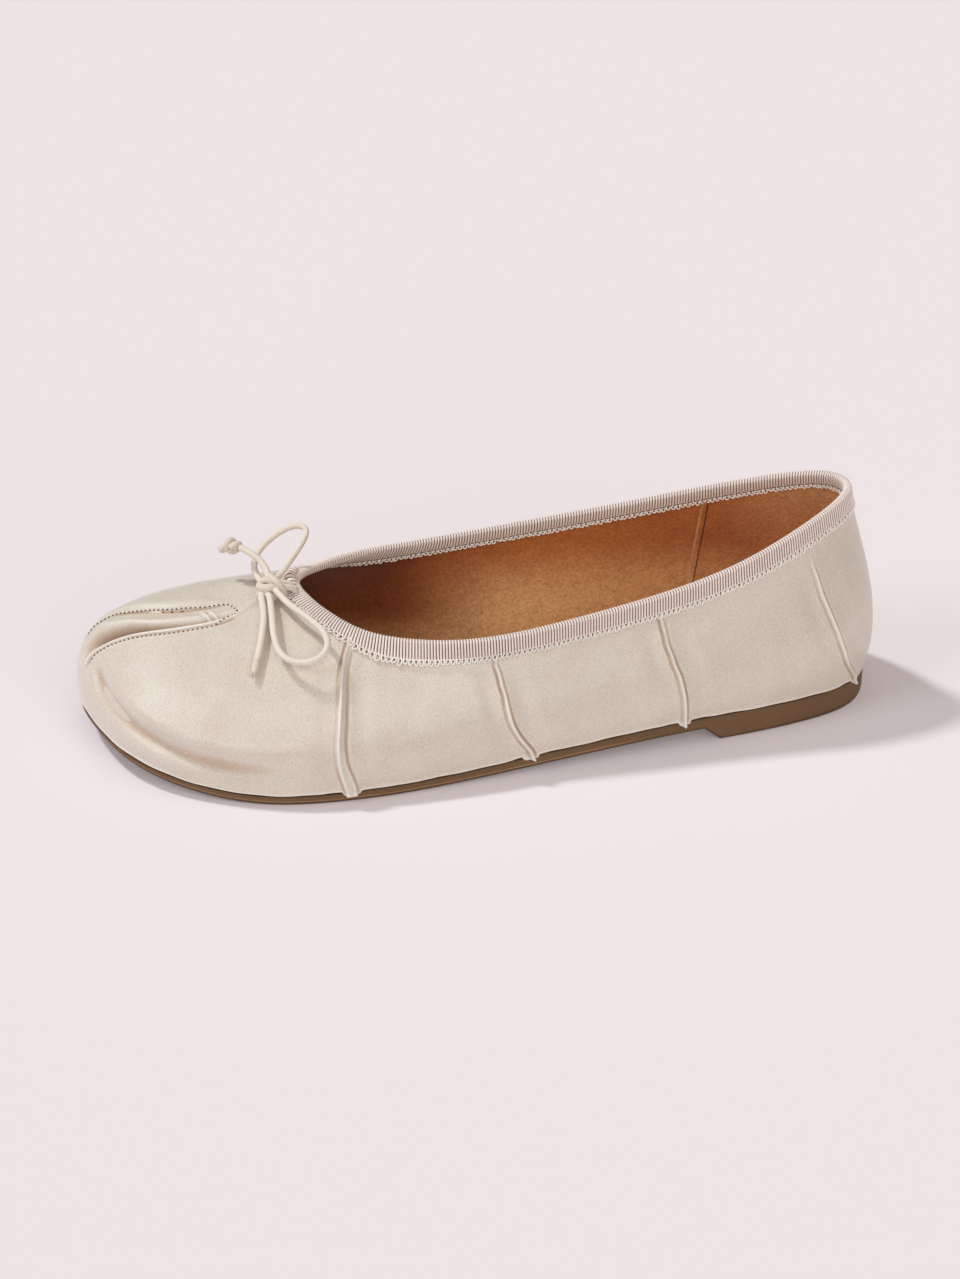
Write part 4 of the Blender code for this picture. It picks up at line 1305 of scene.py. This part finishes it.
def cord_look():
    """Round woven cord with its fine slanting threads."""
    look = Look("cord", 0.55, Sheen_Weight=0.05, Sheen_Roughness=0.5)
    one_way = look.bands((1.5, 1.1, 1.0))
    other_way = look.bands((-1.5, 1.1, 1.0))
    colour = look.ramp(look.noise(3.5), (0.30, (0.84, 0.755, 0.665)), (0.70, (0.94, 0.875, 0.80)))
    colour = look.shade(colour, one_way, 0.0, (0.80, 0.76, 0.72), 0.6, 0.8)
    return look.finish(colour, look.bump(one_way, 0.05, 0.7, look.bump(other_way, 0.05, 0.7)))


def floor_look():
    """Pale backdrop, evenly lit from all round."""
    look = Look("backdrop", 0.9, Specular_IOR_Level=0.0, Emission_Strength=1.0,
                Emission_Color=(*FLOOR_GLOW, 1.0))
    cloud = look.noise(0.004, 1.0)
    colour = look.ramp(cloud, (0.0, FLOOR_COLOUR), (1.0, FLOOR_COLOUR))
    return look.finish(colour, look.bump(cloud, 0.01, 0.1))


def satin_painted_shade_and_highlight(u, v):
    """How much painted shade the satin gets in its creases and painted highlight on its ridges and lower
    edge, at each point, from 0 to 1.
    """
    across, up = spans(u, v)
    height = relief(u, v)
    hollow = np.zeros_like(height)
    for du, dv in ((SHADE_REACH / across, 0.0), (0.0, SHADE_REACH / up)):
        hollow = hollow + 0.5 * (relief(u + du, v + dv) + relief(u - du, v - dv) - 2.0 * height)
    start, run, most = PAINTED_SHADE_HOLLOW
    crease = np.clip((hollow - start) / run, 0.0, most)
    crease = crease + np.clip((-height - PAINTED_SHADE_DEPTH[0]) / PAINTED_SHADE_DEPTH[1], 0.0, 1.0)
    ridge = np.clip((-hollow - PAINTED_HIGHLIGHT_RISE[0]) / PAINTED_HIGHLIGHT_RISE[1], 0.0, 1.0) + bells(v * up, PAINTED_EDGE_HIGHLIGHT)
    return np.clip(crease, 0.0, 1.0), np.clip(ridge, 0.0, 1.0)


def make_satin(material):
    """The satin outside of the upper, as a thin closed shell with every fold and pleat in it."""
    base = spaced(SATIN_COLUMNS, satin_columns)
    rows_v = spaced(SATIN_ROWS, satin_rows, closed=False)
    hidden_v = np.linspace(1.0, 0.0, HIDDEN_ROWS)
    columns = np.stack([lean(base, v) for v in rows_v])
    outside = satin_face(columns, rows_v[:, None])
    hidden_u = np.stack([lean(base, v) for v in hidden_v])
    inside = layer_face(hidden_u, hidden_v[:, None], SATIN_THICKNESS)
    plan = foot_outline(columns[0], SATIN_TUCK)
    inside[-1] = np.stack([plan[:, 0], plan[:, 1], sole_top(plan[:, 1]) + 0.5 * GAP], axis=-1)
    points = np.concatenate([outside, inside])
    faces = grid_faces(len(points), len(base), close_rows=True)
    across = np.append(base, 1.0) * SKIN_LENGTH
    up = np.concatenate([rows_v, hidden_v, rows_v[:1]]) * SKIN_HEIGHT
    hidden = np.zeros((HIDDEN_ROWS, len(base)))
    # Painted shade in the creases, and painted highlight on the ridges and along the lower edge
    crease, ridge = satin_painted_shade_and_highlight(columns, rows_v[:, None] + np.zeros_like(columns))
    values = {"crease": np.concatenate([crease, hidden]), "ridge": np.concatenate([ridge, hidden])}
    uv = grid_uv(across, up)
    return add_piece("upper_satin", points, faces, material, ["upper"], uv=uv, values=values)


def lining_seam_relief(u, v):
    """The lining's seam tape: a flat raised strip, with a groove where it is stitched."""
    across, up = spans(u, v)
    d = (u - line_u(LINING_SEAM, v)) * across
    plateau = smooth_step((d + TAPE_HALF) / TAPE_SIDES[0]) * smooth_step((TAPE_HALF - d) / TAPE_SIDES[1])
    covered = smooth_step(((1.0 - v) * up - TAPE_TOP[0]) / TAPE_TOP[1])
    return covered * (TAPE_HEIGHT * plateau + bells(d, TAPE_GROOVES))


def make_lining(material):
    """Suede lining, as its own closed shell inside the satin."""
    middle = LINING_SEAM[1][1]
    base = spaced(LINING_COLUMNS, lambda u: 1.0 + humps(u - middle, COLUMNS_TAPE))
    v = np.linspace(0.0, 1.0, LINING_ROWS)[:, None]
    near = humps(base, ((1.0, middle, LINING_SEAM_LEAN),))
    columns = base + (line_u(LINING_SEAM, v) - middle) * near
    outer = layer_face(columns, v, LINING_OUTSIDE)
    inner = layer_face(columns, v, WALL + lining_seam_relief(columns, v))
    points = np.concatenate([outer, inner[::-1]])
    faces = grid_faces(len(points), len(base), close_rows=True)
    across = spans(columns, v + np.zeros_like(columns))[0]
    d = (columns - line_u(LINING_SEAM, v)) * across
    d = np.concatenate([d, d[::-1]])
    along = points[..., 1]
    heights = points[..., 2]
    # Painted light: paler towards the insole and round the heel, with a painted highlight along the tape's
    # edge
    pale_tone = smooth_step((LINING_PAINTED_LIGHT_TOP - heights) / (LINING_PAINTED_LIGHT_TOP - LINING_PAINTED_LIGHT_LOW))
    heel = LINING_PAINTED_LIGHT_SHARE * smooth_step((LINING_PAINTED_LIGHT_HEEL - along) / LINING_PAINTED_LIGHT_HEEL)
    pale_tone = np.maximum(np.maximum(pale_tone, bells(d, TAPE_PAINTED_HIGHLIGHT)), heel)
    # Painted shade: darker under the vamp, less over the insole, and along the tape's stitched groove
    painted_shade = smooth_step((along - LINING_PAINTED_SHADE_START) / (LINING_PAINTED_SHADE_END - LINING_PAINTED_SHADE_START))
    low = smooth_step((heights - LINING_PAINTED_SHADE_LOW) / LINING_PAINTED_SHADE_RISE)
    painted_shade = painted_shade * (LINING_PAINTED_SHADE_SHARE + (1.0 - LINING_PAINTED_SHADE_SHARE) * low)
    values = {"pale_tone": pale_tone * (1.0 - painted_shade), "painted_shade": np.maximum(painted_shade, bells(d, TAPE_PAINTED_SHADE))}
    return add_piece("upper_lining", points, faces, material, values=values)


def layered_rings(levels, ring):
    """Closed rings one over another from insets and height functions, capped by strips across."""
    u, pairs = ring
    count = len(u)
    points = []
    for inset, height in levels:
        plan = foot_outline(u, inset)
        points.append(np.stack([plan[:, 0], plan[:, 1], height(plan[:, 1])], axis=-1))
    faces = grid_faces(len(levels), count).tolist()
    last = (len(levels) - 1) * count
    for lateral, medial in pairs:
        strip = list(dict.fromkeys((lateral[0], lateral[1], medial[1], medial[0])))
        faces.append(strip)
        faces.append([last + k for k in reversed(strip)])
    return np.concatenate(points), faces


def sole_ring(count):
    """Values of u round the foot outline in pairs at the same s, and the strips between them."""
    fine = np.linspace(0.0, 1.0, FINE_COUNT)
    fine_s = SECTION_AT(fine)[:, 1]
    tip = int(np.argmax(fine_s))
    turn = np.linspace(0.0, math.pi, count)
    s = fine_s[tip] * (1.0 - np.cos(turn)) / 2.0
    breast = np.array([HEEL_FRONT, HEEL_FRONT + GAP, HEEL_FRONT + BREAST_RUN, HEEL_FRONT + BREAST_RUN + GAP])
    clear = (s < breast[0] - BREAST_CLEAR) | (s > breast[-1] + BREAST_CLEAR)
    s = np.sort(np.concatenate((s[clear], breast)))
    lateral = np.interp(s, fine_s[:tip + 1], fine[:tip + 1])
    medial = np.interp(-s, -fine_s[tip:], fine[tip:])
    u = np.concatenate((lateral, medial[-2:0:-1]))
    total = len(u)
    pairs = [((i, i + 1), ((total - i) % total, total - i - 1)) for i in range(len(s) - 1)]
    return u, pairs


def sole_wall(s, share):
    """Height on the sole's upright wall, from its rounded lower edge to its top."""
    low = sole_bottom(s) + edge_radius(s)
    return low + share * (sole_top(s) - SOLE_STEP[0][1] - low)


def tread_lift(s):
    """How far the middle of the underside lies above its rim: nothing over the heel breast."""
    height, start, run = TREAD_LIFT
    return height * smooth_step((s - start) / run)


def make_outsole(material):
    """Moulded sole and heel with rounded lower edge, a thin step under the upper, and a flat tread."""
    inner, outer = SOLE_UNDER_INSETS
    levels = [
        (SOLE_EDGE_RADIUS + inner, lambda s: sole_bottom(s) + tread_lift(s)),
        (SOLE_EDGE_RADIUS + outer, sole_bottom),
    ]
    for turn in np.linspace(0.0, 0.5 * math.pi, SOLE_EDGE_RINGS):
        inset = SOLE_EDGE_RADIUS * (1.0 - math.sin(turn))
        share = 1.0 - math.cos(turn)
        levels.append((inset, lambda s, share=share: sole_bottom(s) + edge_radius(s) * share))
    for share in SOLE_WALL:
        levels.append((0.0, lambda s, share=share: sole_wall(s, share)))
    for inset, below in SOLE_STEP + ((SOLE_TOP_INSET, 0.0),):
        levels.append((inset, lambda s, below=below: sole_top(s) - below))
    ring = sole_ring(SOLE_STATIONS)
    points, faces = layered_rings(levels, ring)
    count = len(ring[0])
    line = np.repeat(SOLE_LINE, count) * smooth_step((points[:, 1] - SOLE_LINE_START) / SOLE_LINE_RUN)
    # Each ring's tone with its painted shade, plus the paler line
    values = {"edge": np.repeat(SOLE_TONE_AND_PAINTED_SHADE, count) + line}
    return add_piece("outsole_rubber", points, faces, material, ["outsole"],
                     values=values, sharp=SOLE_SHARP)


def make_insole(material):
    """Suede insole with a softly rounded edge, filling the lasting margin."""
    bottom = GAP + WALL + GAP
    top = bottom + INSOLE_THICKNESS
    levels = [(WALL + INSOLE_INSET, lambda s: sole_top(s) + bottom)]
    for inset, below in INSOLE_RINGS:
        levels.append((WALL + inset, lambda s, below=below: sole_top(s) + top - below))
    points, faces = layered_rings(levels, sole_ring(SOLE_STATIONS // 2))
    # Paler towards the heel and the toe
    values = {"pale_tone": 0.5 + 0.5 * np.cos(points[:, 1] / INSOLE_WEAR)}
    return add_piece("insole_suede", points, faces, material, ["insole"],
                     values=values, sharp=INSOLE_SHARP)


def collar_line(count):
    """Values of u at even distances round the collar edge, and the edge's length."""
    fine = np.linspace(0.0, 1.0, FINE_COUNT)
    length = distances(base_skin(fine, 1.0))
    wanted = np.arange(count) / count * length[-1]
    return np.interp(wanted, length, fine), length[-1]


def ribbon_point(u, below, height):
    """A point beside the collar edge: its distance below the edge, and over the outer face."""
    below, height = (np.broadcast_to(np.asarray(value, float), np.shape(u)) for value in (below, height))
    rise = (base_skin(u, 1.0) - base_skin(u, 1.0 - FINE_STEP)) / FINE_STEP
    speed = norm(rise)
    v = 1.0 - np.maximum(below, 0.0) / speed
    point = base_skin(u, v) + skin_normal(u, v) * height[..., None]
    return point + rise / speed[:, None] * np.maximum(-below, 0.0)[..., None]


def make_binding(material):
    """Ribbed ribbon folded over the collar edge."""
    u = collar_line(RIB_COUNT * len(RIB_SHAPE))[0]
    shape = np.tile(np.array(RIB_SHAPE), RIB_COUNT)
    rows = []
    ribs = []
    past = u - LAP_U
    lap = LAP_HEIGHT * smooth_step(past / LAP_EDGE + 0.5) * (1.0 - smooth_step(past / LAP_LENGTH))
    lap = lap - LAP_GROOVE * bell((past + LAP_EDGE) / LAP_EDGE)
    notch = LAP_NOTCH * bell(past / LAP_NOTCH_WIDTH)
    for below, height, ribbed, outward in RIBBON_SECTION:
        level = height + outward * RIB_HEIGHT * ribbed * (shape - 1.0)
        if outward >= 0 and height > RIBBON_OUTER:
            level = level + lap * bell((below - LAP_MIDDLE) / LAP_REACH)
        lowered = below - (RIB_HEIGHT * (shape - 1.0) if below < RIBBON_TOP else 0.0)
        if below > RIBBON_LOWER:
            lowered = lowered - notch
        rows.append(ribbon_point(u, lowered, level))
        # Factor of the painted shade in the grooves: 1 on the ribs, low in the grooves where fully ribbed
        ribs.append(1.0 - ribbed * (1.0 - shape))
    points = np.concatenate(rows)
    faces = grid_faces(len(rows), len(u), close_rows=True)
    values = {"groove_shade": np.concatenate(ribs)}
    return add_piece("binding_ribbon", points, faces, material, ["binding"], values=values)


def make_throat_roll(material):
    """The thick gathered end of the ribbon that rolls over the front of the throat."""
    count = THROAT_RIBS * len(RIB_SHAPE) + 1
    share = np.linspace(0.0, 1.0, count)
    u = THROAT_ROLL_U[0] + share * (THROAT_ROLL_U[1] - THROAT_ROLL_U[0])
    path = even_points(ribbon_point(u, THROAT_ROLL_BELOW, THROAT_ROLL_LIFT), THROAT_STEP)
    path = read_path(path, np.linspace(0.0, 1.0, len(path)), share)
    shape = np.append(np.tile(np.array(RIB_SHAPE), THROAT_RIBS), RIB_SHAPE[0])
    ends, start, run, fullness = THROAT_SWELL
    swell = ends + (1.0 - ends) * np.sin(math.pi * (start + run * share)) ** fullness
    radius = swell * (THROAT_ROLL_RADIUS + THROAT_RIB_HEIGHT * (shape - 1.0))
    points, faces = tube(path, radius, sides=THROAT_SIDES)
    # Painted shade in the grooves between the roll's ribs
    values = {"groove_shade": np.repeat(shape, THROAT_SIDES)}
    return add_piece("binding_throat_roll", points, faces, material, values=values)


def make_picots(material):
    """Small thread loops along both edges of the ribbon."""
    heap = Heap()
    count = int(round(collar_line(1)[1] / PICOT_PITCH))
    u = collar_line(count)[0]
    step = np.diff(np.append(u, u[0] + 1.0))
    arch = PICOT_ARCH * np.sin(np.linspace(0.0, math.pi, len(PICOT_DOWN)))
    random = np.random.default_rng(PICOT_SEED)
    for start, depth, height, outward in PICOT_ROWS:
        for i in range(count):
            jitter = random.uniform(-PICOT_JITTER, PICOT_JITTER, 3)
            across = np.array(PICOT_ACROSS) + (PICOT_SLANT + jitter[0]) * np.array(PICOT_SLANTED)
            down = np.array(PICOT_DOWN) * depth * (1.0 + jitter[1])
            lift = height + outward * (arch + 0.5 * jitter[2])
            loop = ribbon_point(u[i] + across * step[i], start + down, lift)
            heap.add(*tube(loop, PICOT_RADIUS, PICOT_SIDES))
    return heap.piece("binding_picots", material, "ribbon")


def beads_along(heap, path, normals, pitch, size, phase=0.0):
    """Small ellipsoids of a given length and radius, one for each pitch along a path, lying along it."""
    length, radius = size
    distance = distances(path)
    for at in np.arange(pitch * (0.5 + phase), distance[-1], pitch):
        centre, ahead, behind = read_path(path, distance, [at, at + STITCH_REACH, at - STITCH_REACH])
        normal = read_path(normals, distance, at)
        along = unit(ahead - behind)
        side = unit(np.cross(normal, along))
        axes = np.stack([along, side, np.cross(along, side)])
        heap.add(*bead(centre, axes, (length / 2, radius, radius * STITCH_FLATNESS)))


def stitch_binding(thread, hole):
    """Machine stitches that hold the ribbon, outside and inside, with a dark bead of painted shade for the
    needle hole at each end.
    """
    threads = Heap()
    holes = Heap()
    u = collar_line(COLLAR_POINTS)[0]
    u = np.append(u, u[0] + 1.0)
    for below, height, sign in BINDING_STITCHES:
        path = ribbon_point(u, below, height)
        normals = skin_normal(u, np.full_like(u, BINDING_STITCH_V)) * sign
        beads_along(threads, path, normals, BINDING_STITCH_PITCH, BINDING_THREAD, 0.5)
        beads_along(holes, path + normals * BINDING_HOLE_LIFT, normals, BINDING_STITCH_PITCH, BINDING_HOLE_SHADE)
    threads.piece("binding_stitches", thread, "ribbon")
    holes.piece("binding_stitch_hole_shade", hole, "ribbon")


def path_on_satin(places, lift):
    """Fine path on the satin through (u, v) places, and the skin's normal along it."""
    scaled = np.array([(u * SKIN_LENGTH, v * VAMP_HEIGHT, 0.0) for u, v in places])
    fine = smooth_route(scaled, STITCH_STEP)
    u = fine[:, 0] / SKIN_LENGTH
    v = fine[:, 1] / VAMP_HEIGHT
    return satin_face(u, v, lift), skin_normal(u, v)


def cleft_stitch_lines():
    """The two rows of stitches beside the cleft, meeting round its rear end."""
    near = []
    far = []
    for v, lip, _, near_at, far_at in (row[:5] for row in CLEFT[1:-3]):
        across = float(spans(lip, v)[0])
        near.append((lip - near_at / across, v))
        far.append((lip + far_at / across, v))
    return near + list(CLEFT_STITCH_END) + far[:1:-1] + list(CLEFT_STITCH_START[::-1])


def stitch_cleft(thread, hole):
    """Stitches round the cleft, with dark beads of painted shade for their needle holes."""
    threads = Heap()
    holes = Heap()
    path, normals = path_on_satin(cleft_stitch_lines(), CLEFT_THREAD_LIFT)
    beads_along(threads, path, normals, CLEFT_STITCH_PITCH, CLEFT_THREAD, 0.5)
    beads_along(holes, path, normals, CLEFT_STITCH_PITCH, CLEFT_HOLE_SHADE)
    threads.piece("cleft_stitches", thread, "satin")
    holes.piece("cleft_stitch_hole_shade", hole, "satin")


def stitch_seams(thread, dark_thread_and_hole_shade):
    """Stitches of the medial seam outside, and of the lining's seam inside."""
    outside = Heap()
    inside = Heap()
    places = []
    for v in np.linspace(*SEAM_STITCH_RUN):
        u = float(line_u(MEDIAL_SEAM, v))
        places.append((u + SEAM_STITCH_OFFSET / float(spans(u, v)[0]), v))
    path, normals = path_on_satin(places, SEAM_THREAD_LIFT)
    beads_along(outside, path, normals, SEAM_STITCH_PITCH, SEAM_THREAD)
    v = np.linspace(*LINING_STITCH_RUN)
    u = line_u(LINING_SEAM, v)
    u = u + TAPE_STITCHES / spans(u, v)[0]
    path = layer_face(u, v, WALL + LINING_THREAD_DEPTH)
    beads_along(inside, path, -skin_normal(u, v), SEAM_STITCH_PITCH, LINING_THREAD)
    outside.piece("medial_seam_stitches", thread, "satin")
    inside.piece("lining_seam_stitches", dark_thread_and_hole_shade, "suede")


def cord_path(parts):
    """One smooth fine path through routes and points in order."""
    points = []
    for part in parts:
        points.extend(BOW_ROUTES[part] if isinstance(part, str) else [part])
    path = smooth_route(points, CORD_STEP)
    for _ in range(CORD_RELAX):
        path[1:-1] = 0.5 * path[1:-1] + 0.25 * (path[:-2] + path[2:])
    return even_points(path, CORD_STEP)


def add_cord(name, path, material, nodes):
    """Woven cord as a mesh tube with its own UV in millimetres."""
    points, faces = tube(path, CORD_DIAMETER / 2, sides=CORD_SIDES)
    rings = len(path)
    around = np.linspace(0.0, math.pi * CORD_DIAMETER, CORD_SIDES + 1)
    along = np.arange(rings) * CORD_STEP
    uv = grid_uv(around, along)
    uv = np.concatenate([uv, np.zeros((2 * CORD_SIDES, 2))])
    return add_piece(name, points, faces, material, nodes, uv=uv)


def from_view(centre, offsets):
    """Points at (right, up, towards the camera) offsets from a centre."""
    return np.asarray(centre) + np.asarray(offsets, float) @ CAMERA_AXES


def make_knot(material):
    """The bow's knot: the cord's wraps over a core, with a small curl beside them."""
    heap = Heap()
    for radius, route in KNOT_WRAPS:
        path = smooth_route(from_view(KNOT_CENTRE, route), KNOT_STEP)
        heap.add(*tube(path, radius, CORD_SIDES))
    turn = np.linspace(KNOT_CURL_START, KNOT_CURL_START + KNOT_CURL_TURN, TURN_POINTS)
    ring = np.stack([np.cos(turn), np.sin(turn), KNOT_CURL_TILT * np.sin(turn)], axis=-1)
    curl = from_view(KNOT_CENTRE, np.asarray(KNOT_CURL) + ring * KNOT_CURL_RADIUS)
    heap.add(*tube(curl, KNOT_CURL_CORD))
    heap.add(*bead(KNOT_CENTRE, np.eye(3), (KNOT_CORE,) * 3, *KNOT_CORE_MESH))
    return heap.piece("bow_knot_wraps", material, "cord", ["bow_knot"])


def fray(heap, end, direction, fibres):
    """Loose fibres at a cut cord end."""
    offset, count, length, spread, seed = fibres
    start = end + direction * offset
    random = np.random.default_rng(seed)
    for _ in range(count):
        root = start + random.normal(0.0, FRAY_ROOT, 3)
        tip = root + direction * length * random.uniform(*FRAY_SHARES) + random.normal(0.0, spread, 3)
        middle = 0.5 * (root + tip) + random.normal(0.0, FRAY_BEND, 3)
        heap.add(*tube(np.stack([root, middle, tip]), FRAY_RADII, FRAY_SIDES))


def make_far_tip(material, direction):
    """Small knot at the far end of the cord, with a frayed stub."""
    heap = Heap()
    side = unit(np.cross(direction, (0.0, 0.0, 1.0)))
    other = np.cross(direction, side)
    turn = np.linspace(0.0, TIP_FAR_ROUND, TURN_POINTS)[:, None]
    for offset, tilt, phase in TIP_FAR_TURNS:
        ring = TIP_FAR_WIDTH * (np.cos(turn + phase) * side + np.sin(turn + phase) * other)
        ring = ring + (offset + tilt * np.cos(turn)) * direction
        heap.add(*tube(np.asarray(TIP_FAR) + ring, TIP_FAR_CORD, TIP_SIDES))
    distance, drop, radius = np.array(TIP_FAR_STUB).T
    stub = np.asarray(TIP_FAR) + distance[:, None] * direction - drop[:, None] * np.array([0.0, 0.0, 1.0])
    heap.add(*tube(stub, radius, TIP_SIDES))
    fray(heap, stub[-1], unit(stub[-1] - stub[-3]), TIP_FAR_FRAY)
    return heap.piece("bow_tip_far_knot", material, "cord", ["bow_tip_far"])


def make_near_tip(material, start, direction):
    """Tapered end of the near cord with a few loose fibres."""
    heap = Heap()
    distance, radius = np.array(TIP_NEAR).T
    heap.add(*tube(start + distance[:, None] * direction, radius, TIP_SIDES))
    fray(heap, start, direction, TIP_NEAR_FRAY)
    return heap.piece("bow_tip_near_end", material, "cord", ["bow_tip_near"])


def make_camera():
    """Camera at the photograph's angle, and its axes in the shoe's own terms."""
    turn, rise, roll = (math.radians(angle) for angle in (CAMERA_TURN, CAMERA_RISE, CAMERA_ROLL))
    ahead = Vector((-math.cos(rise) * math.sin(turn), math.cos(rise) * math.cos(turn), -math.sin(rise)))
    level_right = Vector((math.cos(turn), math.sin(turn), 0.0))
    level_up = level_right.cross(ahead)
    right = level_right * math.cos(roll) + level_up * math.sin(roll)
    up = level_up * math.cos(roll) - level_right * math.sin(roll)
    camera = add_object("camera", bpy.data.cameras.new("camera"))
    camera.data.lens = CAMERA_LENS
    camera.data.sensor_width = CAMERA_SENSOR
    rotation = Matrix((right, up, -ahead)).transposed().to_4x4()
    eye = (Vector(CAMERA_TARGET) - ahead * CAMERA_DISTANCE) * MM
    camera.matrix_world = Matrix.Translation(eye) @ rotation
    bpy.context.scene.camera = camera
    return np.array([(axis.x, -axis.y, axis.z) for axis in (right, up, -ahead)])


def make_cords(material):
    """The bow's two cords, each from the throat through the knot, round its loop and out to its tip."""
    near_path = cord_path(CORD_NEAR)
    far_path = cord_path(CORD_FAR)
    near = add_cord("bow_cord_near", near_path, material, ["bow_neck_near", "bow_loop_near", "bow_end_near"])
    far = add_cord("bow_cord_far", far_path, material, ["bow_neck_far", "bow_loop_far", "bow_end_far"])
    knot = make_knot(material)
    near_tip = make_near_tip(material, near_path[-1], unit(near_path[-1] - near_path[-CORD_END_POINTS]))
    far_tip = make_far_tip(material, unit(far_path[-1] - far_path[-CORD_END_POINTS]))


def make_stage():
    """Pale floor, even soft light from all round, and the lamps."""
    mesh = bpy.data.meshes.new("floor")
    size = FLOOR_SIZE * MM
    corners = [(x * size, y * size, 0.0) for x, y in ((-1, -1), (1, -1), (1, 1), (-1, 1))]
    mesh.from_pydata(corners, [], [(0, 1, 2, 3)])
    mesh.materials.append(floor_look())
    floor = add_object("floor", mesh)
    world = bpy.data.worlds.new("studio")
    world.use_nodes = True
    background = world.node_tree.nodes["Background"]
    background.inputs["Color"].default_value = (*WORLD_COLOUR, 1.0)
    background.inputs["Strength"].default_value = WORLD_STRENGTH
    bpy.context.scene.world = world
    for name, source, strength, width, colour, reflected in LAMPS:
        lamp = bpy.data.lights.new(name, "SUN")
        lamp.energy = strength
        lamp.angle = math.radians(width)
        lamp.color = colour
        holder = add_object(name, lamp)
        holder.rotation_mode = "QUATERNION"
        holder.rotation_quaternion = Vector(source).to_track_quat("Z", "Y")
        holder.visible_glossy = reflected
    bpy.context.scene.view_settings.view_transform = "Standard"


CAMERA_AXES = make_camera()
make_cords(cord_look())
SATIN = satin_look()
RIBBON = ribbon_look()
THREAD = thread_look("pale_thread", (0.74, 0.66, 0.58), (0.90, 0.84, 0.77))
PICOT = thread_look("picot_thread", (0.90, 0.82, 0.76), (0.97, 0.92, 0.88))
# Dark thread for the lining's stitches, also used for the beads of painted shade in the needle holes
DARK = thread_look("dark_thread_and_hole_shade", (0.050, 0.028, 0.018), (0.12, 0.070, 0.045))
make_satin(SATIN)
# Lining: its third colour is the painted light that pales its lower part and its heel
make_lining(suede_look("lining_suede", (0.49, 0.152, 0.037), (0.61, 0.215, 0.061), (0.97, 0.61, 0.31), 0.18))
make_insole(suede_look("insole_suede", (0.72, 0.36, 0.13), (0.82, 0.45, 0.18), (0.90, 0.55, 0.25), 0.12))
make_outsole(rubber_look())
make_binding(RIBBON)
make_throat_roll(RIBBON)
make_picots(PICOT)
stitch_binding(RIBBON, DARK)
stitch_cleft(THREAD, DARK)
stitch_seams(THREAD, DARK)
make_stage()
